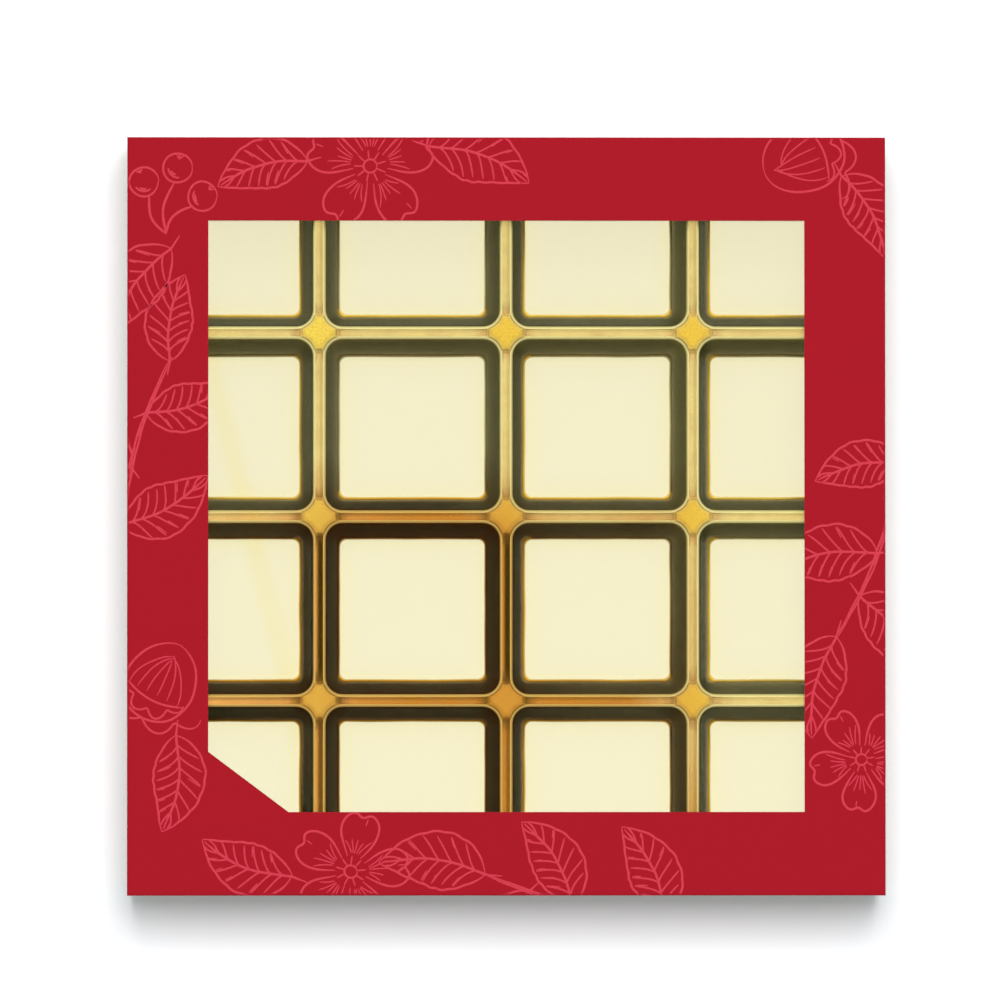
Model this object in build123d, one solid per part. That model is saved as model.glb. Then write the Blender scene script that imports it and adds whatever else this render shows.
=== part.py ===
from build123d import *
import os

# A square two-piece chocolate box: a folded carton base, a gold formed tray with
# sixteen cavities standing in it, and a folded carton lid with a film window that
# slips down over the base. Lengths are in millimetres and angles in degrees.
# The origin is the middle of the underside; +Z is up, +X is to the right and +Y is
# to the back of the box when the cut corner of its window is at the front left.

# Closed box
lid_width = 156.0
lid_length = 156.0
box_height = 25.5

# Carton board, the glue that holds it and the running fits
lid_board = 0.45
base_board = 0.45
glue_film = 0.1
lid_clearance = 0.3
tray_clearance = 0.3
fold_radius = 0.4

# Lid skirt and the window cut in its top panel
skirt_depth = 19.0
window_margin_side = 16.7
window_margin_end = 17.2
window_chamfer_x = 16.5
window_chamfer_y = 12.4

# Window film and its frame of glue, under the lid's top panel
film_thickness = 0.2
film_overlap = 8.0
film_corner_radius = 2.0
film_glue_setback = 2.0
film_glue_width = 4.0

# Glue flaps at the cartons' corners, with a patch of glue on each
flap_width = 14.0
flap_taper = 3.0
flap_gap = 0.6
corner_glue_width = 9.0
corner_glue_margin = 4.0

# Formed tray: one thin sheet with a grid of tapering square cavities
tray_sheet = 0.4
cavities_across = 4
cavities_along = 4
cavity_pitch_x = 38.5
cavity_pitch_y = 37.9
cavity_depth = 20.0
ridge_width = 2.6
cavity_floor_x = 29.9
cavity_floor_y = 29.0
cavity_mouth_radius = 3.5
cavity_floor_radius = 1.5
floor_fillet = 0.6
rim_radius = 0.4
tray_corner_radius = 3.0

# Star-shaped pads that stand a little above the tray's ridges where they cross
pad_reach = 3.4
pad_inset = 0.5
pad_rise = 0.3

# How far a cutting shape runs past the face that it cuts
overrun = 1.0

# The most of a board's thickness that the rounding of its folds may take
fold_limit_share = 0.9

# Sizes that follow from those above
base_width = lid_width - 2 * (lid_board + lid_clearance)
base_length = lid_length - 2 * (2 * lid_board + glue_film + lid_clearance)
panel_underside = box_height - lid_board
base_height = panel_underside
tray_width = base_width - 2 * (base_board + tray_clearance)
tray_length = base_length - 2 * (2 * base_board + glue_film + tray_clearance)
window_width = lid_width - 2 * window_margin_side
window_length = lid_length - 2 * window_margin_end
mouth_x = cavity_pitch_x - ridge_width
mouth_y = cavity_pitch_y - ridge_width
floor_top = base_board + tray_sheet
ridge_top = floor_top + cavity_depth


def block(x_range, y_range, z_range):
    """A box between the given low and high values along each axis."""
    size = [high - low for low, high in (x_range, y_range, z_range)]
    corner = (x_range[0], y_range[0], z_range[0])
    return Pos(*corner) * Box(*size, align=(Align.MIN, Align.MIN, Align.MIN))


def edges_at(shape, axis, value, along):
    """The straight edges of a shape that run along one axis, at a place on another."""
    found = shape.edges().filter_by(along)
    reach = glue_film / 10
    return found.filter_by_position(axis, value - reach, value + reach)


def folded_carton(width, length, height, board):
    """One folded blank, open at the top: a panel with four walls.

    The side walls end in flaps that turn the corner and lie inside the front and
    back walls, one film of glue away from them.
    """
    half_x = width / 2
    half_y = length / 2
    inner_x = half_x - board
    wall_end_y = half_y - board - glue_film
    body = block((-half_x, half_x), (-half_y, half_y), (0, board))
    for side in (-1, 1):
        end_wall = sorted((side * half_y, side * (half_y - board)))
        body += block((-half_x, half_x), end_wall, (0, height))
        side_wall = sorted((side * half_x, side * inner_x))
        body += block(side_wall, (-wall_end_y, wall_end_y), (0, height))
    for side_x in (-1, 1):
        for side_y in (-1, 1):
            body += corner_flap(side_x, side_y, inner_x, wall_end_y, height, board)
    radius = min(fold_radius, fold_limit_share * board)
    folds = edges_at(body, Axis.Z, 0, Axis.X) + edges_at(body, Axis.Z, 0, Axis.Y)
    body = fillet(folds, radius)
    bends = edges_at(body, Axis.Y, wall_end_y, Axis.Z)
    bends += edges_at(body, Axis.Y, -wall_end_y, Axis.Z)
    outer = [edge for edge in bends if abs(edge.center().X) > half_x - radius]
    return fillet(outer, radius)


def corner_flap(side_x, side_y, inner_x, wall_end_y, height, board):
    """A flap at one corner, tapering from its fold to its free end."""
    low = board + flap_gap
    free_x = inner_x - flap_width
    outline = Polyline(
        (side_x * inner_x, low),
        (side_x * free_x, low + flap_taper),
        (side_x * free_x, height - flap_taper),
        (side_x * inner_x, height),
        close=True,
    )
    flap = extrude(make_face(Plane.XZ * outline), amount=board / 2, both=True)
    return Pos(0, side_y * (wall_end_y - board / 2), 0) * flap


def corner_glue(width, length, height, board):
    """Four patches of glue between a carton's flaps and its front and back walls."""
    outer_x = width / 2 - board - corner_glue_margin
    outer_y = length / 2 - board
    low = board + flap_gap + corner_glue_margin
    patches = []
    for side_x in (-1, 1):
        for side_y in (-1, 1):
            x_range = sorted((side_x * outer_x, side_x * (outer_x - corner_glue_width)))
            y_range = sorted((side_y * outer_y, side_y * (outer_y - glue_film)))
            patches.append(block(x_range, y_range, (low, height - corner_glue_margin)))
    return patches


def turned_over(shape):
    """A carton or its glue turned upside down, with its panel at the box's top."""
    return Pos(0, 0, box_height) * Rot(180, 0, 0) * shape


def window_outline(growth):
    """The window's outline with its cut corner at the front left, grown outwards."""
    half_x = window_width / 2
    half_y = window_length / 2
    outline = Polyline(
        (-half_x + window_chamfer_x, -half_y),
        (half_x, -half_y),
        (half_x, half_y),
        (-half_x, half_y),
        (-half_x, -half_y + window_chamfer_y),
        close=True,
    )
    face = make_face(outline)
    return offset(face, growth, kind=Kind.INTERSECTION) if growth else face


def lid_carton():
    """The lid: a folded carton upside down, with the window cut in its panel."""
    height = skirt_depth + lid_board
    lid = turned_over(folded_carton(lid_width, lid_length, height, lid_board))
    cutter = extrude(window_outline(0), amount=lid_board + 2 * overrun)
    return lid - Pos(0, 0, panel_underside - overrun) * cutter


def film_glue_frame():
    """A flat frame of glue round the window, on the underside of the lid's panel."""
    ring = window_outline(film_glue_setback + film_glue_width)
    ring -= window_outline(film_glue_setback)
    return Pos(0, 0, panel_underside - glue_film) * extrude(ring, amount=glue_film)


def window_film():
    """The clear film: a rounded sheet that laps over the window on every side."""
    sheet = RectangleRounded(
        window_width + 2 * film_overlap,
        window_length + 2 * film_overlap,
        film_corner_radius,
    )
    low = panel_underside - glue_film - film_thickness
    return Pos(0, 0, low) * extrude(sheet, amount=film_thickness)


def cavity_form(growth):
    """A cavity's form, widened all round and lowered by the growth.

    With no growth it is the space inside the cavity; with the sheet's thickness it
    is the outside of the cavity's cup.
    """
    top = RectangleRounded(
        mouth_x + 2 * growth, mouth_y + 2 * growth, cavity_mouth_radius + growth
    )
    foot = RectangleRounded(
        cavity_floor_x + 2 * growth, cavity_floor_y + 2 * growth, cavity_floor_radius + growth
    )
    form = loft([Pos(0, 0, floor_top - growth) * foot, Pos(0, 0, ridge_top) * top])
    rim_of_floor = form.faces().sort_by(Axis.Z)[0].edges()
    return fillet(rim_of_floor, floor_fillet + growth)


def star_outline(inset, reach):
    """A cross with hollow sides that follow the corners of four cavity mouths."""
    middle = ridge_width / 2 + cavity_mouth_radius
    star = Rectangle(2 * reach, 2 * reach)
    for side_x in (-1, 1):
        for side_y in (-1, 1):
            corner = Circle(cavity_mouth_radius + inset)
            star -= Pos(side_x * middle, side_y * middle) * corner
    return star


def grid_places(across, along):
    """Places on the cavities' grid, centred on the box, for so many each way."""
    for column in range(across):
        for row in range(along):
            yield Pos(
                (column - (across - 1) / 2) * cavity_pitch_x,
                (row - (along - 1) / 2) * cavity_pitch_y,
                0,
            )


def cavity_tray():
    """The formed tray: a rim and ridges of one sheet, sixteen cups and nine pads."""
    sheet_low = ridge_top - tray_sheet
    rim = RectangleRounded(tray_width, tray_length, tray_corner_radius)
    tray = Pos(0, 0, sheet_low) * extrude(rim, amount=tray_sheet)
    cup = cavity_form(tray_sheet)
    space = cavity_form(0)
    cavities = list(grid_places(cavities_across, cavities_along))
    tray = tray.fuse(*[place * cup for place in cavities])
    tray = tray.cut(*[place * space for place in cavities])
    mouth_edges = []
    for face in tray.faces().filter_by(Plane.XY):
        if abs(face.center().Z - ridge_top) < rim_radius / 2:
            for wire in face.inner_wires():
                mouth_edges += wire.edges()
    tray = fillet(mouth_edges, rim_radius)
    crossings = list(grid_places(cavities_across - 1, cavities_along - 1))
    pad = Pos(0, 0, sheet_low) * extrude(star_outline(pad_inset, pad_reach), amount=tray_sheet + pad_rise)
    hollow_outline = star_outline(pad_inset + tray_sheet, pad_reach - tray_sheet)
    hollow = Pos(0, 0, sheet_low) * extrude(hollow_outline, amount=pad_rise)
    tray = tray.fuse(*[place * pad for place in crossings])
    return tray.cut(*[place * hollow for place in crossings])


def main():
    """Make each piece and write it to its own file."""
    lid_height = skirt_depth + lid_board
    lid_glue = corner_glue(lid_width, lid_length, lid_height, lid_board)
    pieces = {
        "base_carton": folded_carton(base_width, base_length, base_height, base_board),
        "base_corner_glue": corner_glue(base_width, base_length, base_height, base_board),
        "cavity_tray": cavity_tray(),
        "lid_carton": lid_carton(),
        "lid_corner_glue": [turned_over(patch) for patch in lid_glue],
        "film_glue_frame": film_glue_frame(),
        "window_film": window_film(),
    }
    os.makedirs("parts", exist_ok=True)
    for name, piece in pieces.items():
        shape = Compound(children=piece) if isinstance(piece, list) else piece
        export_step(shape, f"parts/{name}.step")
        box = shape.bounding_box()
        print(name, len(shape.solids()), [round(value, 2) for value in (*box.min, *box.max)])


main()
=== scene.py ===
"""A closed square chocolate box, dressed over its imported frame.

A red carton lid with a film window and a line print lifts off a carton base that
holds a gold formed tray of sixteen cavities. Lengths are in metres, +Z is up, and
the window's cut corner is at the front left.
"""

import logging
import math
from dataclasses import dataclass, field
from enum import Enum

import bmesh
import bpy
import numpy as np
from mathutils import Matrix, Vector


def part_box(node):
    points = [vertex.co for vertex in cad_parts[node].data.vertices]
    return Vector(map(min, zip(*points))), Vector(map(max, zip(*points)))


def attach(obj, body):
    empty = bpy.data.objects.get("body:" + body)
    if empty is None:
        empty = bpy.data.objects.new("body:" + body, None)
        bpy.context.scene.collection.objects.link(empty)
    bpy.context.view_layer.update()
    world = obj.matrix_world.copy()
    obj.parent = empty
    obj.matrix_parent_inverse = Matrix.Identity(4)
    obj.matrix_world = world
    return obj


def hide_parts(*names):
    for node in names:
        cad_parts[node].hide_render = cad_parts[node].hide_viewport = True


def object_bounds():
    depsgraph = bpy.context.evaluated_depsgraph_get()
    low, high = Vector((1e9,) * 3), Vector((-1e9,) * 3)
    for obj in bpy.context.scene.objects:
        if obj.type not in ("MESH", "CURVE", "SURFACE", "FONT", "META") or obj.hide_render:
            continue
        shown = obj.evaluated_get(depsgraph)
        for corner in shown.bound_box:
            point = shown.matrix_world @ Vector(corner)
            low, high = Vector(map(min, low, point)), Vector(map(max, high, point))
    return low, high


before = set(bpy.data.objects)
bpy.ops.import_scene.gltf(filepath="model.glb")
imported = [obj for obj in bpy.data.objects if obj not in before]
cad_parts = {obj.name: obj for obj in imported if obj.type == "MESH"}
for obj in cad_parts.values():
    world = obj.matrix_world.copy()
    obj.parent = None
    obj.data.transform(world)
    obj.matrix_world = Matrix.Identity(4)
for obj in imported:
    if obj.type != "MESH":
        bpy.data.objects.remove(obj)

LOG = logging.getLogger("chocolate_box")
MM = 0.001
CAD_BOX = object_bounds()

Array = np.ndarray
Colour = tuple[float, float, float]
Tones = tuple[Colour, Colour]
Pair = tuple[float, float]
Material = bpy.types.Material
Node = bpy.types.Node
Tree = bpy.types.NodeTree
Piece = bpy.types.Object
Socket = bpy.types.NodeSocket


def srgb(red: int, green: int, blue: int) -> Colour:
    """Turn a colour given as screen values of 0 to 255 into linear light.

    Args:
        red: Red screen value.
        green: Green screen value.
        blue: Blue screen value.

    Returns:
        The three linear values from 0 to 1.
    """
    screen = np.array((red, green, blue)) / 255
    low = screen / 12.92
    high = ((screen + 0.055) / 1.055) ** 2.4
    return tuple(float(value) for value in np.where(screen <= 0.04045, low, high))


def smooth_step(low: float, high: float, value: Array) -> Array:
    """Ease from 0 to 1 as a value goes from low to high: 3x^2 - 2x^3.

    Args:
        low: Where the result leaves 0.
        high: Where the result reaches 1.
        value: The values to ease.

    Returns:
        The eased values.
    """
    share = np.clip((value - low) / (high - low), 0.0, 1.0)
    return share * share * (3 - 2 * share)


def polar(radius: Array, angle: Array) -> Array:
    """Places in plan at distances and angles (in radians) from the origin."""
    return np.stack([radius * np.cos(angle), radius * np.sin(angle)], -1)


def distances_along(points: Array) -> Array:
    """How far each point of a row lies along the row from its start."""
    steps = np.linalg.norm(np.diff(points, axis=0), axis=1)
    return np.concatenate([[0], np.cumsum(steps)])


def mirrored_stops(stops: list[float], length: float) -> Array:
    """Places along a side, the same from both of its ends.

    Args:
        stops: Distances from one end, none past the middle.
        length: Length of the side.

    Returns:
        The sorted distances from the side's start.
    """
    near = np.array(stops)
    return np.unique(np.concatenate([near, length - near]))


@dataclass
class Surface:
    """One mesh on its way: points, four-cornered faces and their paint numbers."""

    points: Array
    faces: Array
    paint: Array
    values: dict[str, Array] = field(default_factory=dict)


def grid_faces(rows: int, columns: int, row_wrap: bool, column_wrap: bool) -> Array:
    """Faces of a grid of points, stored row by row.

    Args:
        rows: Number of rows of points.
        columns: Number of points in a row.
        row_wrap: True if the last row joins the first.
        column_wrap: True if each row's end joins its start.

    Returns:
        One row of four point numbers for each face.
    """
    row = np.arange(rows if row_wrap else rows - 1)[:, None]
    column = np.arange(columns if column_wrap else columns - 1)[None, :]
    next_row = (row + 1) % rows
    next_column = (column + 1) % columns
    corners = [
        row * columns + column,
        row * columns + next_column,
        next_row * columns + next_column,
        next_row * columns + column,
    ]
    return np.stack([np.broadcast_to(c, (row.size, column.size)) for c in corners], -1).reshape(-1, 4)


def joined(surfaces: list[Surface]) -> Surface:
    """Put several surfaces into one, one after another.

    Args:
        surfaces: The surfaces, which all hold the same named values.

    Returns:
        One surface with all their points and faces.
    """
    starts = np.cumsum([0] + [len(surface.points) for surface in surfaces[:-1]])
    names = surfaces[0].values.keys()
    return Surface(
        np.concatenate([surface.points for surface in surfaces]),
        np.concatenate([surface.faces + start for surface, start in zip(surfaces, starts)]),
        np.concatenate([surface.paint for surface in surfaces]),
        {name: np.concatenate([surface.values[name] for surface in surfaces]) for name in names},
    )


def outward(surface: Surface) -> Surface:
    """Turn a closed surface's faces so that it encloses a positive volume.

    The volume is the sum over the faces of a third of the height of each face's
    middle over the origin, times its area.

    Args:
        surface: A closed surface whose faces all turn the same way round.

    Returns:
        The surface, with its faces turned over if they pointed inwards.
    """
    corner = surface.points[surface.faces]
    normal = np.cross(corner[:, 2] - corner[:, 0], corner[:, 3] - corner[:, 1]) / 2
    volume = np.sum(normal * (corner.mean(axis=1) - surface.points.mean(axis=0)))
    if volume < 0:
        surface.faces = surface.faces[:, ::-1]
    return surface


def make_piece(
    name: str, surface: Surface, materials: list[Material], weld: float = 0.0, crease: float = 35.0
) -> Piece:
    """Make an object from a surface, smooth but for its sharp edges.

    Args:
        name: The piece's name.
        surface: Its points, faces, paint numbers and named point values.
        materials: The materials that the paint numbers point to.
        weld: Points nearer to each other than this are merged.
        crease: Edges that turn by more than this many degrees stay sharp.

    Returns:
        The new object, at the origin.
    """
    mesh = bpy.data.meshes.new(name)
    mesh.from_pydata(surface.points.tolist(), [], surface.faces.tolist())
    mesh.polygons.foreach_set("material_index", surface.paint.astype(np.int32))
    for value_name, values in surface.values.items():
        layer = mesh.attributes.new(value_name, "FLOAT", "POINT")
        layer.data.foreach_set("value", values.astype(np.float32))
    if weld:
        work = bmesh.new()
        work.from_mesh(mesh)
        bmesh.ops.remove_doubles(work, verts=work.verts, dist=weld)
        bmesh.ops.dissolve_degenerate(work, edges=work.edges, dist=weld / 10)
        work.to_mesh(mesh)
        work.free()
    for material in materials:
        mesh.materials.append(material)
    mesh.polygons.foreach_set("use_smooth", np.ones(len(mesh.polygons), bool))
    mesh.set_sharp_from_angle(angle=math.radians(crease))
    mesh.update()
    piece = bpy.data.objects.new(name, mesh)
    bpy.context.scene.collection.objects.link(piece)
    return piece


class Wiring:
    """A short way to add nodes to one node tree and join them."""

    def __init__(self, tree: Tree) -> None:
        """Keep the tree that the nodes go into."""
        self.tree = tree

    def node(self, kind: str, **settings: object) -> Node:
        """Add a node and set its properties.

        Args:
            kind: The node's type name.
            **settings: Property names and values.

        Returns:
            The new node.
        """
        made = self.tree.nodes.new(kind)
        for name, value in settings.items():
            setattr(made, name, value)
        return made

    def feed(self, socket: Socket, source: object) -> None:
        """Link a socket to an output, or set it to a plain value.

        Args:
            socket: The input socket.
            source: The output socket or the value.
        """
        if isinstance(source, Socket):
            self.tree.links.new(source, socket)
        else:
            socket.default_value = source

    def maths(self, operation: str, *values: object, clamp: bool = False) -> Socket:
        """Add a Math node.

        Args:
            operation: The Math node's operation.
            *values: Its inputs, plain or linked.
            clamp: True to hold the result within 0 and 1.

        Returns:
            The node's output.
        """
        made = self.node("ShaderNodeMath", operation=operation, use_clamp=clamp)
        for socket, value in zip(made.inputs, values):
            self.feed(socket, value)
        return made.outputs[0]

    def mix(self, share: object, first: object, second: object) -> Socket:
        """Mix two colours.

        Args:
            share: How much of the second colour shows.
            first: The first colour, plain or linked.
            second: The second colour, plain or linked.

        Returns:
            The mixed colour.
        """
        made = self.node("ShaderNodeMix", data_type="RGBA")
        self.feed(made.inputs["Factor"], share)
        for socket, colour in zip(made.inputs[6:8], (first, second)):
            self.feed(socket, colour if isinstance(colour, Socket) else (*colour, 1.0))
        return made.outputs[2]

    def noise(self, scale: object, detail: float, where: object, rough: float = 0.5) -> Socket:
        """Add a noise pattern on object coordinates, in cycles per metre.

        Args:
            scale: Cycles per metre.
            detail: Levels of finer noise.
            where: The coordinates that it reads.
            rough: Strength of the finer levels.

        Returns:
            The pattern, from 0 to 1 about a middle of 0.5.
        """
        made = self.node("ShaderNodeTexNoise", noise_dimensions="3D")
        settings = {"Vector": where, "Scale": scale, "Detail": detail, "Roughness": rough}
        for name, value in settings.items():
            self.feed(made.inputs[name], value)
        return made.outputs["Fac"]

    def place(self) -> Socket:
        """The object coordinates, in metres."""
        return self.node("ShaderNodeTexCoord").outputs["Object"]

    def split(self, vector: Socket) -> list[Socket]:
        """Take a vector apart.

        Args:
            vector: The vector.

        Returns:
            Its x, y and z.
        """
        made = self.node("ShaderNodeSeparateXYZ")
        self.feed(made.inputs[0], vector)
        return list(made.outputs)

    def stretched(self, x: float, y: float, z: float) -> Socket:
        """Read the object coordinates, each multiplied by its own number.

        Args:
            x: What x is multiplied by.
            y: What y is multiplied by.
            z: What z is multiplied by.

        Returns:
            The stretched coordinates.
        """
        made = self.node("ShaderNodeMapping")
        made.inputs["Scale"].default_value = (x, y, z)
        self.feed(made.inputs["Vector"], self.place())
        return made.outputs[0]

    def remap(
        self, value: object, low: object, high: object, to_low: object = 0.0, to_high: object = 1.0
    ) -> Socket:
        """Map a range onto another, held at its ends.

        Args:
            value: The value to map.
            low: Start of its range.
            high: End of its range.
            to_low: What the start becomes.
            to_high: What the end becomes.

        Returns:
            The mapped value.
        """
        made = self.node("ShaderNodeMapRange", clamp=True)
        for socket, number in zip(made.inputs, (value, low, high, to_low, to_high)):
            self.feed(socket, number)
        return made.outputs[0]

    def blend(self, share: object, first: object, second: object) -> Socket:
        """Mix two numbers.

        Args:
            share: How much of the second number counts.
            first: The first number, plain or linked.
            second: The second number, plain or linked.

        Returns:
            The mixed number.
        """
        return self.remap(share, 0.0, 1.0, first, second)

    def grey_ramp(self, value: object, stops: tuple[tuple[float, float], ...]) -> Socket:
        """Turn a value into greys that go straight from stop to stop.

        Args:
            value: The value from 0 to 1.
            stops: Places and greys along the ramp.

        Returns:
            The grey.
        """
        made = self.node("ShaderNodeValToRGB")
        elements = made.color_ramp.elements
        while len(elements) < len(stops):
            elements.new(0.5)
        for element, (place, grey) in zip(elements, stops):
            element.position = place
            element.color = (grey, grey, grey, 1.0)
        self.feed(made.inputs[0], value)
        return made.outputs[0]

    def attribute(self, name: str) -> Socket:
        """Read a named point value of the mesh."""
        return self.node("ShaderNodeAttribute", attribute_name=name).outputs["Fac"]


def new_group(name: str, inputs: dict[str, float], outputs: list[str]) -> tuple[Wiring, dict, dict]:
    """Start a shader node group with named inputs and outputs.

    Args:
        name: The group's name.
        inputs: Input names and default values.
        outputs: Output names.

    Returns:
        The group's wiring, its inputs inside, and its output sockets inside.
    """
    tree = bpy.data.node_groups.new(name, "ShaderNodeTree")
    for label, default in inputs.items():
        socket = tree.interface.new_socket(name=label, in_out="INPUT", socket_type="NodeSocketFloat")
        socket.default_value = default
    for label in outputs:
        tree.interface.new_socket(name=label, in_out="OUTPUT", socket_type="NodeSocketFloat")
    wiring = Wiring(tree)
    entry = wiring.node("NodeGroupInput")
    leave = wiring.node("NodeGroupOutput")
    return wiring, dict(entry.outputs.items()), dict(leave.inputs.items())


def paper_fibre_group() -> Tree:
    """Build the fibre pattern of carton board.

    Fibre is a fine noise stretched along the sheet, and Cloud is the slow patchiness
    of paper. Size is the fibres' spacing in millimetres.

    Returns:
        The node group.
    """
    wiring, entry, leave = new_group("paper_fibre", {"Size": 0.35}, ["Fibre", "Cloud"])
    scale = wiring.maths("DIVIDE", 1 / MM, entry["Size"])
    wiring.feed(leave["Fibre"], wiring.noise(scale, 4.0, wiring.stretched(1.0, 0.35, 1.0), 0.6))
    wiring.feed(leave["Cloud"], wiring.noise(55.0, 3.0, wiring.place()))
    return wiring.tree


def speck_group() -> Tree:
    """Build a scatter of fine specks, as dust and pinholes leave.

    Each speck is a small round spot about a random point; Spacing and Radius are in
    millimetres, and Specks is 1 inside a spot.

    Returns:
        The node group.
    """
    wiring, entry, leave = new_group("fine_specks", {"Spacing": 2.5, "Radius": 0.1}, ["Specks"])
    cells = wiring.node("ShaderNodeTexVoronoi", feature="F1")
    wiring.feed(cells.inputs["Vector"], wiring.place())
    wiring.feed(cells.inputs["Scale"], wiring.maths("DIVIDE", 1 / MM, entry["Spacing"]))
    distance = wiring.maths("MULTIPLY", cells.outputs["Distance"], entry["Spacing"])
    inside = wiring.maths("SUBTRACT", entry["Radius"], distance)
    wiring.feed(leave["Specks"], wiring.maths("MULTIPLY", inside, 30.0, clamp=True))
    return wiring.tree


@dataclass(frozen=True)
class Finish:
    """A finish: its name and the values that are the same all over it."""

    name: str
    roughness: float = 0.5
    specular: float = 0.5
    metallic: float = 0.0

    def start(self) -> tuple[Material, Wiring, Node]:
        """Make the material with its shader.

        Returns:
            The material, its wiring and its Principled shader.
        """
        material = bpy.data.materials.new(self.name)
        material.use_nodes = True
        wiring = Wiring(material.node_tree)
        shader = material.node_tree.nodes["Principled BSDF"]
        shader.inputs["Roughness"].default_value = self.roughness
        shader.inputs["Specular IOR Level"].default_value = self.specular
        shader.inputs["Metallic"].default_value = self.metallic
        return material, wiring, shader

    def bump(self, wiring: Wiring, shader: Node, height: object, depth: float) -> None:
        """Raise the surface by a height pattern.

        Args:
            wiring: The material's wiring.
            shader: The shader whose normal is bumped.
            height: The pattern, from 0 to 1.
            depth: How far a step of 1 stands out, in metres.
        """
        bump = wiring.node("ShaderNodeBump")
        bump.inputs["Distance"].default_value = depth
        wiring.feed(bump.inputs["Height"], height)
        wiring.feed(shader.inputs["Normal"], bump.outputs[0])


@dataclass(frozen=True)
class BoardFinish(Finish):
    """Carton board, printed or bare: one colour with the paper's fibre in it."""

    colour: Colour = (0.8, 0.8, 0.8)
    patchiness: float = 0.03
    fibre_depth: float = 0.012 * MM
    fibre_size: float = 0.35

    def make(self, fibre: Tree) -> Material:
        """Make the material.

        Args:
            fibre: The paper fibre node group.

        Returns:
            The material.
        """
        material, wiring, shader = self.start()
        paper = wiring.node("ShaderNodeGroup", node_tree=fibre)
        paper.inputs["Size"].default_value = self.fibre_size
        darker = tuple(value * (1 - self.patchiness) for value in self.colour)
        lighter = tuple(value * (1 + self.patchiness) for value in self.colour)
        cloud = wiring.remap(paper.outputs["Cloud"], 0.3, 0.7)
        tint = wiring.mix(cloud, darker, lighter)
        speckle = wiring.remap(paper.outputs["Fibre"], 0.25, 0.75, 0.0, 0.5)
        wiring.feed(shader.inputs["Base Color"], wiring.mix(speckle, tint, self.colour))
        uneven = wiring.remap(paper.outputs["Fibre"], 0.2, 0.8, -0.05, 0.05)
        wiring.feed(shader.inputs["Roughness"], wiring.maths("ADD", uneven, self.roughness))
        self.bump(wiring, shader, paper.outputs["Fibre"], self.fibre_depth)
        return material


@dataclass(frozen=True)
class GoldFinish(Finish):
    """Gold metallised sheet, formed over a mould: its upper face.

    The sheet is a bright gold all over, with painted light making it paler at the back
    and along the right and painted shade making it deeper at the front left. A dark
    edge tint turns its steep walls dark from straight above. The point value draw runs
    from 0 on the middle of a ridge through 1 at the mouth, 2 down the wall and 3 at
    the floor's edge to 4 in the middle of the floor; pad is 1 on the star-shaped pads,
    groove is 1 along the ridges' grooves and dip is 1 in the dips beside the pads, both
    darkened by painted shade, and glow is 1 where a painted reflection lights a wall's
    foot. Tones are the deep gold of the painted shade at the front left and the pale
    gold of the painted light at the back, and for the floor its edge and its middle; the
    rims and pads carry painted highlights. Ranges are stretches of draw or of x over
    which one look turns into the next.
    """

    name: str = "gold_sheet"
    metallic: float = 1.0
    edge_tint: Colour = (0.047, 0.057, 0.005)
    # painted light and shade: in each pair of ridge, groove, dip, pad, rim, wall and glow tones the first
    # is the deep gold painted for the shaded front left, the second the pale gold painted for the lit back
    ridge: Tones = (srgb(192, 127, 44), srgb(226, 202, 126))
    ridge_lit_left: Colour = srgb(230, 168, 88)
    ridge_streak: Colour = srgb(176, 132, 74)
    # painted shade in the ridges' grooves
    groove: Tones = (srgb(66, 47, 6), srgb(176, 152, 80))
    # painted shade in the dips beside the pads
    dip: Tones = (srgb(112, 78, 26), srgb(206, 140, 66))
    pad: Tones = (srgb(203, 145, 54), srgb(238, 204, 74))
    # painted highlight on the pads at the back left
    pad_highlight: Colour = srgb(255, 238, 104)
    pad_grain: Colour = srgb(226, 150, 60)
    # painted highlight along the rounded rims of the mouths
    rim: Tones = (srgb(224, 186, 100), srgb(250, 238, 160))
    # painted light and shade on the walls: the top tone is painted a little deeper under the rim than the
    # foot tone
    wall_top: Tones = (srgb(206, 160, 72), srgb(220, 209, 134))
    wall_foot: Tones = (srgb(222, 170, 80), srgb(232, 220, 154))
    # painted reflection: bright gold lighting the walls' feet
    glow: Tones = (srgb(246, 186, 40), srgb(255, 212, 70))
    floor: Tones = (srgb(232, 224, 180), srgb(230, 224, 190))
    dust: Colour = srgb(240, 232, 190)
    dust_spacing: float = 3.2
    dust_radius: float = 0.09
    dust_cover: float = 0.55
    rim_range: Pair = (0.74, 0.84)
    wall_range: Pair = (1.08, 1.14)
    floor_range: Pair = (2.97, 3.07)
    satin_range: Pair = (2.98, 3.08)
    mirror_range: Pair = (2.95, 3.1)
    level_range: Pair = (3.08, 3.6)
    dusty_range: Pair = (2.6, 3.0)
    left_range: Pair = (-62 * MM, -20 * MM)
    right_range: Pair = (2 * MM, 18 * MM)
    drift: float = 16 * MM
    wave: float = 5.5 * MM
    wave_rate: float = 82.7
    bowl: float = 1.3
    floor_satin: float = 0.08
    floor_roughness: float = 0.06
    grain_depth: float = 0.02 * MM

    def make(self, specks: Tree) -> Material:
        """Make the material.

        Args:
            specks: The fine specks node group.

        Returns:
            The material.
        """
        material, wiring, shader = self.start()
        shader.inputs["Specular Tint"].default_value = (*self.edge_tint, 1.0)
        dust = wiring.node("ShaderNodeGroup", node_tree=specks)
        dust.inputs["Spacing"].default_value = self.dust_spacing
        dust.inputs["Radius"].default_value = self.dust_radius
        sheet = GoldShading(self, wiring)
        wiring.feed(shader.inputs["Base Color"], sheet.colour(dust.outputs["Specks"]))
        wiring.feed(shader.inputs["Metallic"], sheet.metal_share())
        wiring.feed(shader.inputs["Roughness"], sheet.roughness())
        self.bump(wiring, shader, sheet.height(), 1.0)
        return material


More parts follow.
